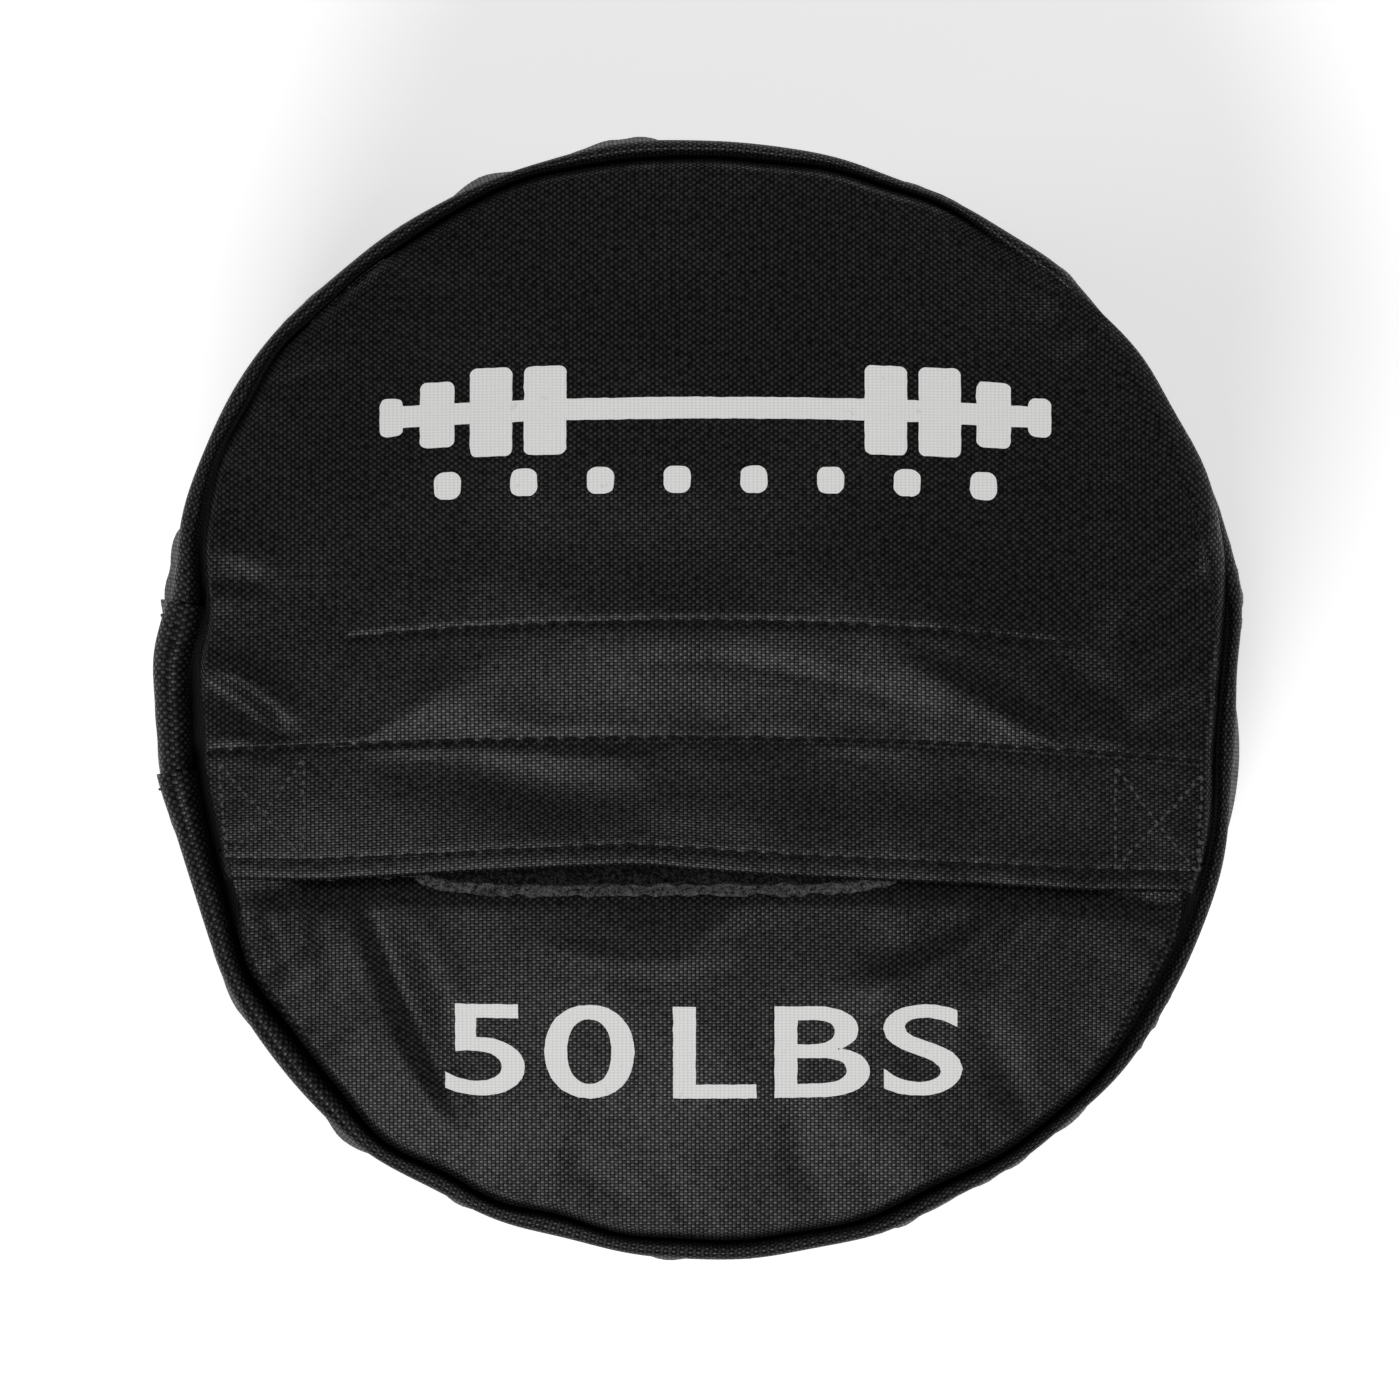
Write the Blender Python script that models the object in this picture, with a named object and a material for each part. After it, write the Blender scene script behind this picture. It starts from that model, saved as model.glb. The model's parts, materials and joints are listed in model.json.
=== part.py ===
"""Round training sandbag, standing on its base.

A sewn cloth drum holds a liner full of sand. Its lid is two overlapping panels, and the mouth between them is
covered by a flap whose ends are sewn down. Metres, +Z up the bag's axis, the origin at the centre of the base,
+Y from the mouth towards the back of the lid.
"""

from math import asin, cos, degrees, radians, sin

import bmesh
import bpy
from mathutils import Matrix, Vector

# The bag
BAG_DIAMETER = 0.285
BAG_HEIGHT = 0.250
CLOTH = 0.0012
GAP = 0.0003

# The turned seams between the wall and its two ends
SEAM_ROLL = 0.005  # radius of the roll that the filled wall makes beside a seam
SEAM_FOLD = 0.0018  # outer radius of the fold where the wall turns down into a seam
SEAM_ALLOWANCE = 0.010
LID_CROWN = 0.009  # height of the lid above the top roll
BASE_CROWN = 0.005  # depth of the base below the bottom roll
PANEL_SHOULDER = 0.0154  # width of the curved border of the lid and base
BINDING = 0.0007
BINDING_HEIGHT = 0.005

# The strip that closes the wall
STRIP_WIDTH = 0.045
STRIP_TOP_EDGE_Y = 0.0258
STRIP_LAP = 0.009
LAP_GAP = 0.0005

# The mouth and its flap
HINGE_Y = -0.0103
FLAP_DEPTH = 0.0348
FLAP_LENGTH = 0.210
HEM_DEPTH = 0.007
HOOK_TAPE_WIDTH = 0.025
LOOP_TAPE_WIDTH = 0.030
LOOP_TAPE_SHOWS = 0.0046  # how far the loop tape reaches past the hem
TAPE_END = 0.002  # from each end of the free flap to the end of its tapes
TAPE_THICKNESS = 0.0011
UNDERLAP = 0.0263  # how far the lower panel runs back behind the hinge row

# The filling chute inside the mouth
CHUTE_LENGTH = 0.180
CHUTE_CLOTH = 0.0006
CHUTE_ROW_Y = 0.0193
CHUTE_FRONT_Y = -0.034
CHUTE_HEM = 0.0053

# The liner and the sand
LINER_FILM = 0.0006
LINER_CORNER = 0.010
LINER_SHOULDER = 0.002
NECK_RADIUS = 0.014
NECK_CLEARANCE = 0.0008  # between the liner's neck and the chute above it
TIE_HEIGHT = 0.003
TIE_THICKNESS = 0.0012

# Sewing thread
THREAD_WIDTH = 0.0012
THREAD_HEIGHT = 0.0006
ROW_INSET = 0.0015  # from a folded edge to its row of stitches
HEM_ROW_INSET = 0.0059
BOX_LENGTH = 0.018  # the crossed box that sews down each end of the flap, along X

# Facets
LATHE_STEPS = 48
LINER_STEPS = 24
CURVE_STEPS = 4

WALL_RADIUS = BAG_DIAMETER / 2
ROLL_RADIUS = WALL_RADIUS - SEAM_ROLL  # radius of the circle that each seam's roll is wound on
TOP_SEAM_Z = BAG_HEIGHT - LID_CROWN - SEAM_FOLD
BASE_SEAM_Z = BASE_CROWN + SEAM_FOLD
LID_RADIUS = ROLL_RADIUS - SEAM_FOLD - GAP
LOWER_LID_RADIUS = LID_RADIUS - CLOTH - GAP
FLAT_RADIUS = LID_RADIUS - PANEL_SHOULDER
HEM_Y = HINGE_Y - FLAP_DEPTH
TAPE_LENGTH = FLAP_LENGTH - 2 * TAPE_END
LID_UNDERSIDE = BAG_HEIGHT - CLOTH
HOOK_TAPE_TOP = LID_UNDERSIDE - GAP
LOOP_TAPE_TOP = HOOK_TAPE_TOP - TAPE_THICKNESS - GAP
LOWER_LID_TOP = LOOP_TAPE_TOP - TAPE_THICKNESS - GAP
CHUTE_UNDERSIDE = LOWER_LID_TOP - CLOTH - 2 * CHUTE_CLOTH - 3 * GAP
LINER_WAIST_TOP = TOP_SEAM_Z - SEAM_ALLOWANCE - BINDING - 4 * GAP
LINER_TOP = LINER_WAIST_TOP + LINER_SHOULDER + GAP
NECK_TOP = CHUTE_UNDERSIDE - NECK_CLEARANCE

BLACK_CLOTH = ("black nylon cloth", (0.014, 0.014, 0.015, 1.0), 0.85)
BLACK_TAPE = ("black woven tape", (0.010, 0.010, 0.010, 1.0), 0.95)
BLACK_FILM = ("black liner film", (0.020, 0.020, 0.022, 1.0), 0.45)
BLACK_THREAD = ("black thread", (0.018, 0.018, 0.019, 1.0), 0.6)
DRY_SAND = ("dry sand", (0.46, 0.36, 0.24, 1.0), 0.95)


def clear_scene():
    for thing in list(bpy.data.objects):
        bpy.data.objects.remove(thing, do_unlink=True)


def material(finish):
    name, colour, roughness = finish
    made = bpy.data.materials.get(name) or bpy.data.materials.new(name)
    made.use_nodes = True
    made.diffuse_color = colour
    shader = made.node_tree.nodes["Principled BSDF"]
    shader.inputs["Base Color"].default_value = colour
    shader.inputs["Roughness"].default_value = roughness
    shader.inputs["Metallic"].default_value = 0.0
    return made


def add_object(name, bm, finish):
    bmesh.ops.remove_doubles(bm, verts=bm.verts, dist=1e-6)
    bmesh.ops.recalc_face_normals(bm, faces=bm.faces)
    mesh = bpy.data.meshes.new(name)
    bm.to_mesh(mesh)
    bm.free()
    mesh.shade_smooth()
    mesh.set_sharp_from_angle(angle=radians(40))
    mesh.materials.append(material(finish))
    made = bpy.data.objects.new(name, mesh)
    bpy.context.scene.collection.objects.link(made)
    return made


def arc(centre, radii, start, end, steps=CURVE_STEPS):
    """Points (r, z) of an elliptical arc between two angles in degrees."""
    turns = [radians(start + (end - start) * step / steps) for step in range(steps + 1)]
    return [(centre[0] + radii[0] * cos(turn), centre[1] + radii[1] * sin(turn)) for turn in turns]


def turned(points, steps=LATHE_STEPS, start=0.0, end=360.0):
    """A solid turned round Z: a ring from a closed profile, or a whole disc from one that ends on the axis."""
    bm = bmesh.new()
    verts = [bm.verts.new((r * cos(radians(start)), r * sin(radians(start)), z)) for r, z in points]
    whole = end - start == 360.0
    reaches_axis = points[0][0] == 0.0
    if whole:
        edges = [bm.edges.new(pair) for pair in zip(verts, verts[1:])]
        if not reaches_axis:
            edges.append(bm.edges.new((verts[-1], verts[0])))
        geometry = verts + edges
    else:
        geometry = [bm.faces.new(verts)]
    bmesh.ops.spin(
        bm,
        geom=geometry,
        cent=(0, 0, 0),
        axis=(0, 0, 1),
        angle=radians(end - start),
        steps=steps,
        use_merge=whole,
    )
    bmesh.ops.remove_doubles(bm, verts=bm.verts, dist=1e-6)
    bmesh.ops.recalc_face_normals(bm, faces=bm.faces)
    return bm


def keep_side(bm, point, normal):
    """Cuts a solid with a plane, keeps the side that the normal points to and closes the cut."""
    cut = bmesh.ops.bisect_plane(
        bm,
        geom=bm.verts[:] + bm.edges[:] + bm.faces[:],
        plane_co=point,
        plane_no=normal,
        clear_inner=True,
    )
    rim = [item for item in cut["geom_cut"] if isinstance(item, bmesh.types.BMEdge)]
    bmesh.ops.edgeloop_fill(bm, edges=rim)


def keep_block(bm, x_range, y_range):
    """Keeps the part of a solid that stands over a rectangle."""
    keep_side(bm, (x_range[0], 0, 0), (1, 0, 0))
    keep_side(bm, (x_range[1], 0, 0), (-1, 0, 0))
    keep_side(bm, (0, y_range[0], 0), (0, 1, 0))
    keep_side(bm, (0, y_range[1], 0), (0, -1, 0))


def extruded(outline, length):
    """A solid with a constant outline (y, z), centred on X."""
    bm = bmesh.new()
    face = bm.faces.new([bm.verts.new((-length / 2, y, z)) for y, z in outline])
    grown = bmesh.ops.extrude_face_region(bm, geom=[face])
    moved = [item for item in grown["geom"] if isinstance(item, bmesh.types.BMVert)]
    bmesh.ops.translate(bm, verts=moved, vec=(length, 0, 0))
    return bm


def slab(y_range, z_range, length):
    (front, back), (low, high) = y_range, z_range
    return extruded([(front, low), (back, low), (back, high), (front, high)], length)


def crown_line(crown, seam, radius, growth=0.0):
    """Outline of a domed end panel from the axis to its seam, moved out of the cloth by growth."""
    rise = crown - seam
    rise += growth if rise > 0 else -growth
    shoulder = arc((FLAT_RADIUS, seam), (radius - FLAT_RADIUS + growth, rise), 90, 0)
    return [(0.0, seam + rise)] + shoulder


def panel_profile(crown, seam, radius, flange_end):
    """An end panel: domed cloth whose edge turns into the seam as a flange."""
    outside = crown_line(crown, seam, radius) + [(radius, flange_end)]
    inside = crown_line(crown, seam, radius, -CLOTH) + [(radius - CLOTH, flange_end)]
    return outside + inside[::-1]


def wall_line(depth):
    """The wall cloth's outline at a depth below its outer face, from the top flange to the bottom one."""
    roll = (SEAM_ROLL - depth, SEAM_ROLL - depth)
    fold = (SEAM_FOLD - depth, SEAM_FOLD - depth)
    flange = ROLL_RADIUS - SEAM_FOLD + depth
    roll_top = TOP_SEAM_Z + SEAM_FOLD - SEAM_ROLL
    roll_base = BASE_SEAM_Z - SEAM_FOLD + SEAM_ROLL
    return (
        [(flange, TOP_SEAM_Z - SEAM_ALLOWANCE)]
        + arc((ROLL_RADIUS, TOP_SEAM_Z), fold, 180, 90, 2)
        + arc((ROLL_RADIUS, roll_top), roll, 90, 0)[1:]
        + arc((ROLL_RADIUS, roll_base), roll, 0, -90)
        + arc((ROLL_RADIUS, BASE_SEAM_Z), fold, -90, -180, 2)[1:]
        + [(flange, BASE_SEAM_Z + SEAM_ALLOWANCE)]
    )


def strip_edges():
    """Angles in degrees of the strip's edge that lies on the wall and of the wall's edge that lies on it."""
    over = 180 - degrees(asin(STRIP_TOP_EDGE_Y / WALL_RADIUS))
    return over, over + degrees(STRIP_WIDTH / WALL_RADIUS)


def side_wall():
    over, under = strip_edges()
    end = over + degrees(STRIP_LAP / 2 / WALL_RADIUS)
    profile = wall_line(0.0) + wall_line(CLOTH)[::-1]
    return turned(profile, LATHE_STEPS - 2, under - 360, end)


def side_seam_strip():
    """The strip starts on top of one end of the wall and passes under the other end."""
    over, under = strip_edges()
    end = under + degrees(STRIP_LAP / 2 / WALL_RADIUS)
    roll_top = TOP_SEAM_Z + SEAM_FOLD - SEAM_ROLL
    roll_base = BASE_SEAM_Z - SEAM_FOLD + SEAM_ROLL

    def line(depth):
        roll = (SEAM_ROLL - depth, SEAM_ROLL - depth)
        return arc((ROLL_RADIUS, roll_top), roll, 75, 0) + arc((ROLL_RADIUS, roll_base), roll, 0, -75)

    bm = turned(line(0.0) + line(CLOTH)[::-1], 8, over, end)
    step = CLOTH + LAP_GAP
    lap = degrees(STRIP_LAP / WALL_RADIUS)
    for vert in bm.verts:
        turn = 180 - degrees(asin(vert.co.y / vert.co.xy.length))
        share = (turn - over - lap) / (under - over - 2 * lap)
        spine = vert.co.xy.normalized() * ROLL_RADIUS
        core = Vector((*spine, min(max(vert.co.z, roll_base), roll_top)))
        vert.co += (vert.co - core).normalized() * step * (1 - 2 * min(max(share, 0.0), 1.0))
    return bm


def binding(seam_z, side):
    """Tape folded round the raw edges of a seam, on side +1 at the base and -1 under the lid."""
    edge = seam_z + side * SEAM_ALLOWANCE
    inner = LOWER_LID_RADIUS - CLOTH - GAP
    outer = ROLL_RADIUS - SEAM_FOLD + CLOTH + GAP
    lip = edge - side * BINDING_HEIGHT
    floor = edge + side * GAP
    back = floor + side * BINDING
    return [
        (inner - BINDING, lip),
        (inner - BINDING, back),
        (outer + BINDING, back),
        (outer + BINDING, lip),
        (outer, lip),
        (outer, floor),
        (inner, floor),
        (inner, lip),
    ]


def upper_lid():
    flange_end = TOP_SEAM_Z - SEAM_ALLOWANCE
    return turned(panel_profile(BAG_HEIGHT, TOP_SEAM_Z, LID_RADIUS, flange_end))


def lid_upper_panel():
    bm = upper_lid()
    keep_side(bm, (0, HINGE_Y, 0), (0, 1, 0))
    return bm


def flap_end(side):
    """The end of the flap band that is sewn down on the lower panel and into the seam."""
    bm = upper_lid()
    near = side * (FLAP_LENGTH / 2 + GAP)
    far = side * WALL_RADIUS
    keep_block(bm, sorted((near, far)), (HEM_Y, HINGE_Y - GAP))
    return bm


def lid_lower_panel():
    flange_end = TOP_SEAM_Z - SEAM_ALLOWANCE
    bm = turned(panel_profile(LOWER_LID_TOP, TOP_SEAM_Z, LOWER_LID_RADIUS, flange_end))
    keep_side(bm, (0, HINGE_Y + UNDERLAP, 0), (0, -1, 0))
    return bm


def bottom_panel():
    flange_end = BASE_SEAM_Z + SEAM_ALLOWANCE
    return turned(panel_profile(0.0, BASE_SEAM_Z, LID_RADIUS, flange_end))


def closure_flap():
    """The free middle of the flap, with its front edge folded under as a hem."""
    back = HINGE_Y - GAP
    fold = HEM_Y + HEM_DEPTH
    hem_underside = LID_UNDERSIDE - CLOTH
    outline = [
        (back, BAG_HEIGHT),
        (back, LID_UNDERSIDE),
        (fold, LID_UNDERSIDE),
        (fold, hem_underside),
        (HEM_Y, hem_underside),
        (HEM_Y, BAG_HEIGHT),
    ]
    return extruded(outline, FLAP_LENGTH)


def hook_tape():
    front = HEM_Y + HEM_DEPTH + GAP
    return slab((front, front + HOOK_TAPE_WIDTH), (HOOK_TAPE_TOP - TAPE_THICKNESS, HOOK_TAPE_TOP), TAPE_LENGTH)


def loop_tape():
    front = HEM_Y - LOOP_TAPE_SHOWS
    return slab((front, front + LOOP_TAPE_WIDTH), (LOOP_TAPE_TOP - TAPE_THICKNESS, LOOP_TAPE_TOP), TAPE_LENGTH)


def chute_front_ply():
    top = LOWER_LID_TOP - CLOTH - GAP * 2
    return slab((CHUTE_FRONT_Y, HINGE_Y + UNDERLAP - GAP * 4), (top - CHUTE_CLOTH, top), CHUTE_LENGTH)


def chute_back_ply():
    """The back of the chute rises behind the lower panel and is sewn to the upper one."""
    top = CHUTE_UNDERSIDE + CHUTE_CLOTH
    seam_top = LID_UNDERSIDE - GAP
    back = CHUTE_ROW_Y + CHUTE_HEM / 2
    hem = CHUTE_ROW_Y - CHUTE_HEM / 2
    outline = [
        (CHUTE_FRONT_Y, CHUTE_UNDERSIDE),
        (back + CHUTE_CLOTH, CHUTE_UNDERSIDE),
        (back + CHUTE_CLOTH, seam_top),
        (hem, seam_top),
        (hem, seam_top - CHUTE_CLOTH),
        (back, seam_top - CHUTE_CLOTH),
        (back, top),
        (CHUTE_FRONT_Y, top),
    ]
    return extruded(outline, CHUTE_LENGTH)


def liner_line(inset):
    """The liner's outline at an inset, drawn in at both ends to pass inside the seam bindings."""
    widest = WALL_RADIUS - 2 * CLOTH - LAP_GAP - GAP
    waist = LOWER_LID_RADIUS - CLOTH - BINDING - 3 * GAP
    swell = (widest - waist) / 2
    floor = CLOTH + GAP
    base_waist = BASE_SEAM_Z + SEAM_ALLOWANCE + BINDING + 4 * GAP
    grown = (swell + inset, swell + inset)
    shrunk = (swell - inset, swell - inset)
    corner = (LINER_CORNER - inset, LINER_CORNER - inset)
    shoulder = (LINER_SHOULDER - inset, LINER_SHOULDER - inset)
    return (
        [(0.0, floor + inset)]
        + arc((waist - LINER_CORNER, floor + LINER_CORNER), corner, -90, 0, 2)
        + arc((waist + swell, base_waist), grown, 180, 90, 2)
        + arc((waist + swell, base_waist + 2 * swell), shrunk, -90, 0, 2)[1:]
        + arc((waist + swell, LINER_WAIST_TOP - 2 * swell), shrunk, 0, 90, 2)
        + arc((waist + swell, LINER_WAIST_TOP), grown, -90, -180, 2)[1:]
        + arc((waist - LINER_SHOULDER, LINER_TOP - LINER_SHOULDER), shoulder, 0, 90, 2)
    )


def liner():
    neck = [
        (NECK_RADIUS, LINER_TOP),
        (NECK_RADIUS, NECK_TOP),
        (NECK_RADIUS - LINER_FILM, NECK_TOP),
        (NECK_RADIUS - LINER_FILM, LINER_TOP - LINER_FILM),
    ]
    return turned(liner_line(0.0) + neck + liner_line(LINER_FILM)[::-1], LINER_STEPS)


def liner_tie():
    inner = NECK_RADIUS + GAP
    outer = inner + TIE_THICKNESS
    low = (LINER_TOP + NECK_TOP - TIE_HEIGHT) / 2
    high = low + TIE_HEIGHT
    return turned([(inner, low), (outer, low), (outer, high), (inner, high)], LINER_STEPS)


def sand_fill():
    inset = LINER_FILM + GAP
    return turned(liner_line(inset) + [(0.0, LINER_TOP - inset)], LINER_STEPS)


def thread_sheet():
    """A layer as thick as the thread, just above the lid, that rows of stitches are cut from."""
    below = crown_line(BAG_HEIGHT, TOP_SEAM_Z, LID_RADIUS, GAP)
    above = crown_line(BAG_HEIGHT, TOP_SEAM_Z, LID_RADIUS, GAP + THREAD_HEIGHT)
    return turned(above + below[::-1])


def stitch_row(y, length):
    bm = thread_sheet()
    keep_block(bm, (-length / 2, length / 2), (y - THREAD_WIDTH / 2, y + THREAD_WIDTH / 2))
    return bm


def crossed_box(side):
    """The guide for one crossed box: an upright prism with the outline of the stitches."""
    near = side * (FLAP_LENGTH / 2 + GAP + ROW_INSET)
    far = near + side * BOX_LENGTH
    front, back = HEM_Y + 2 * ROW_INSET, HINGE_Y - GAP - ROW_INSET
    low, high = TOP_SEAM_Z - SEAM_ALLOWANCE, BAG_HEIGHT + SEAM_ROLL
    bm = bmesh.new()
    corners = [(near, front), (far, front), (far, back), (near, back)]
    rim = [bm.verts.new((x, y, low)) for x, y in corners]
    middle = bm.verts.new(((near + far) / 2, (front + back) / 2, low))
    triangles = [bm.faces.new((rim[turn - 1], rim[turn], middle)) for turn in range(4)]
    bm.normal_update()
    bmesh.ops.inset_individual(bm, faces=triangles, thickness=THREAD_WIDTH / 2, use_even_offset=True)
    bmesh.ops.delete(bm, geom=triangles, context="FACES")
    grown = bmesh.ops.extrude_face_region(bm, geom=bm.faces[:])
    moved = [item for item in grown["geom"] if isinstance(item, bmesh.types.BMVert)]
    bmesh.ops.translate(bm, verts=moved, vec=(0, 0, high - low))
    return bm


def add_box_stitching(name, side):
    guide = add_object(name + "_guide", crossed_box(side), BLACK_THREAD)
    guide.hide_render = True
    guide.display_type = "WIRE"
    stitches = add_object(name, thread_sheet(), BLACK_THREAD)
    cut = stitches.modifiers.new("follow the lid", "BOOLEAN")
    cut.operation = "INTERSECT"
    cut.solver = "EXACT"
    cut.object = guide


def add_flap():
    """The flap, its tape and its hem row swing on the hinge row."""
    hinge = bpy.data.objects.new("flap_hinge", None)
    hinge.location = (0, HINGE_Y, BAG_HEIGHT)
    bpy.context.scene.collection.objects.link(hinge)
    hem_row = stitch_row(HEM_Y + HEM_ROW_INSET, TAPE_LENGTH)
    for piece in (
        add_object("closure_flap", closure_flap(), BLACK_CLOTH),
        add_object("hook_tape", hook_tape(), BLACK_TAPE),
        add_object("hem_stitching", hem_row, BLACK_THREAD),
    ):
        piece.parent = hinge
        piece.matrix_parent_inverse = Matrix.Translation(-hinge.location)


def main():
    clear_scene()
    add_object("side_wall", side_wall(), BLACK_CLOTH)
    add_object("side_seam_strip", side_seam_strip(), BLACK_CLOTH)
    add_object("bottom_panel", bottom_panel(), BLACK_CLOTH)
    add_object("lid_upper_panel", lid_upper_panel(), BLACK_CLOTH)
    add_object("lid_lower_panel", lid_lower_panel(), BLACK_CLOTH)
    add_object("flap_end_left", flap_end(-1), BLACK_CLOTH)
    add_object("flap_end_right", flap_end(1), BLACK_CLOTH)
    add_object("loop_tape", loop_tape(), BLACK_TAPE)
    add_object("top_seam_binding", turned(binding(TOP_SEAM_Z, -1)), BLACK_TAPE)
    add_object("bottom_seam_binding", turned(binding(BASE_SEAM_Z, 1)), BLACK_TAPE)
    add_object("chute_front_ply", chute_front_ply(), BLACK_CLOTH)
    add_object("chute_back_ply", chute_back_ply(), BLACK_CLOTH)
    add_object("liner", liner(), BLACK_FILM)
    add_object("liner_tie", liner_tie(), BLACK_FILM)
    add_object("sand_fill", sand_fill(), DRY_SAND)
    hinge_row = stitch_row(HINGE_Y + ROW_INSET, 2 * LID_RADIUS - 2 * SEAM_ROLL)
    add_object("hinge_stitching", hinge_row, BLACK_THREAD)
    add_object("chute_stitching", stitch_row(CHUTE_ROW_Y, CHUTE_LENGTH), BLACK_THREAD)
    add_box_stitching("box_stitching_left", -1)
    add_box_stitching("box_stitching_right", 1)
    add_flap()


main()
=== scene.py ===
"""Looks of a round training sandbag: woven cloth, sewn flap over the mouth, tapes, threads, liner and sand.

Every cloth panel starts as a flat cut in its own plane and is then laid on the filled bag: on_lid and on_wall
turn a place on the flat cut, with a height above the cloth, into a place in the bag's frame. Metres throughout.
"""

import json
from contextlib import contextmanager
from math import pi

import bpy
import numpy as np
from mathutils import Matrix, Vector


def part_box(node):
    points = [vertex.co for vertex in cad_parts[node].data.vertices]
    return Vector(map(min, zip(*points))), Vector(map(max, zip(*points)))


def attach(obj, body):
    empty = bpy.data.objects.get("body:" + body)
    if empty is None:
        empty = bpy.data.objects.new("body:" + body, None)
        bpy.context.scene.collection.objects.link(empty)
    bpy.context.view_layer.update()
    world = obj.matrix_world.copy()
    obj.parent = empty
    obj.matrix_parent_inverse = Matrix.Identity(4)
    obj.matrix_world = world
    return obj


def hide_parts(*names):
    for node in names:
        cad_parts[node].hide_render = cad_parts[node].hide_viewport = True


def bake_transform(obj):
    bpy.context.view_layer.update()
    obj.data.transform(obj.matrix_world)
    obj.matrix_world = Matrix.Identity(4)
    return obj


MM = 0.001

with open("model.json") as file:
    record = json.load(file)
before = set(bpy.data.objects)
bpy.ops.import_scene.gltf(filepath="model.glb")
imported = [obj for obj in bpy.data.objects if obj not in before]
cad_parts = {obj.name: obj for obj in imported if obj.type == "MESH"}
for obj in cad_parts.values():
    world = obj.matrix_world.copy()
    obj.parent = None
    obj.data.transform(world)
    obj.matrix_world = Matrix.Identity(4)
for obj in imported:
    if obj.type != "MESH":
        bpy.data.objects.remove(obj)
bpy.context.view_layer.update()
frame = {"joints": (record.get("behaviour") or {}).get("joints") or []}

# Sizes and places that the frame gives
WALL_LOW, WALL_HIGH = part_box("side_wall")
FLAP_LOW, FLAP_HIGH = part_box("closure_flap")
BASE_RADIUS = (WALL_HIGH.y - WALL_LOW.y) / 2
HINGE = Vector(frame["joints"][0]["pos_m"])
LID_TOP = HINGE.z
HEM_Y = FLAP_LOW.y
CHUTE_ROW_Y = sum((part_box("chute_stitching")[side].y for side in (0, 1))) / 2
CHUTE_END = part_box("chute_stitching")[1].x
LOOP_TAPE_LOW, LOOP_TAPE_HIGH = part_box("loop_tape")
HOOK_TAPE_LOW, HOOK_TAPE_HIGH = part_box("hook_tape")

# Cloth
CLOTH = 0.7 * MM
THREAD_RADIUS = 0.36 * MM
STITCH = 5.4 * MM
STITCH_WANDER = 0.10 * MM
SELVEDGE = 2.8 * MM
SMOOTH_ANGLE = 0.9
ROW_END = 130 * MM  # where the long rows of stitches end, from the middle
SEAM_Z = 238.0 * MM  # level of the seam beside the lid
SEAM_DEPTH = 7.0 * MM
ROLL_HEIGHT = 3.4 * MM
FOLD_RADIUS = 1.0 * MM
BASE_SEAM_Z = 7.5 * MM
BASE_LIP_Z = 20 * MM  # level whose radius sets the wall's lip under the base

# Where the filled bag is out of round: angle and width in degrees, height in mm
OUTLINE = (
    (356, 15, -6.7),
    (333, 8, -1.3),
    (30, 12, -2.0),
    (50, 5, 1.2),
    (70, 6, -1.5),
    (167, 12, -4.4),
    (195, 18, -5.2),
    (255, 12, -1.4),
)
ROLL_WIDTH = ((188, 20, 5.6), (172, 9, 2.0), (222, 9, 3.0), (66, 12, -2.0), (110, 8, -1.4), (310, 8, -1.2))
ROUND_RADIUS = 145.7 * MM
ROLL = 4.5 * MM

rng = np.random.default_rng(11)


# ---- numbers ----


def share_of(value, start, end):
    return np.clip((value - start) / (end - start), 0, 1)


def smooth(value, start, end):
    share = share_of(value, start, end)
    return share * share * (3 - 2 * share)


def polar(x, y):
    return np.hypot(x, y), np.arctan2(y, x)


def turned(radius, turn, z):
    """Places at a radius and an angle round the bag's axis."""
    return np.stack([radius * np.cos(turn), radius * np.sin(turn), z], axis=1)


def lobes(turn, table):
    """Sum of soft bumps round the bag, in metres."""
    degrees = np.degrees(turn)
    total = 0
    for centre, width, height in table:
        away = (degrees - centre + 180) % 360 - 180
        total = total + height * MM * np.exp(-((away / width) ** 2))
    return total


def ring_waves(seed, low, high):
    """A closed wave round the bag, about -1 to 1, made of whole waves from low to high to the turn."""
    picks = np.random.default_rng(seed)
    counts = np.arange(low, high)
    sizes, starts = picks.uniform(0.3, 1, counts.size), picks.uniform(0, 2 * pi, counts.size)
    scale = 1.4 / np.sqrt((sizes**2).sum())

    def wave(turn):
        parts = (size * np.sin(count * turn + start) for count, size, start in zip(counts, sizes, starts))
        return scale * sum(parts)

    return wave


outline_wobble = ring_waves(91, 8, 30)
seam_wobble = ring_waves(92, 9, 34)


def outer_radius(turn):
    return ROUND_RADIUS + lobes(turn, OUTLINE) + outline_wobble(turn) * 0.28 * MM


def groove_radius(turn):
    return outer_radius(turn) - ROLL - lobes(turn, ROLL_WIDTH) + seam_wobble(turn) * 0.24 * MM


def groove_half(turn):
    """Half the width of the slot at the lid's seam."""
    return 0.62 * MM + lobes(turn, ((186, 18, 1.15),))


def overhang(turn):
    """1 where the lid's cloth rolls out over its seam, 0 elsewhere."""
    return lobes(turn, ((33, 19, 1.25),)) / MM * smooth(np.degrees(turn) % 360, 6, 16)


def field_waves(seed, shortest, longest, count=14):
    """An uneven surface, about -1 to 1, made of crossing waves."""
    picks = np.random.default_rng(seed)
    reach = 2 * pi / picks.uniform(shortest, longest, count)
    way, start = picks.uniform(0, 2 * pi, count), picks.uniform(0, 2 * pi, count)

    def wave(x, y):
        return sum(
            np.sin(k * (x * np.cos(a) + y * np.sin(a)) + s) for k, a, s in zip(reach, way, start)
        ) * (1.4 / np.sqrt(count))

    return wave


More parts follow.
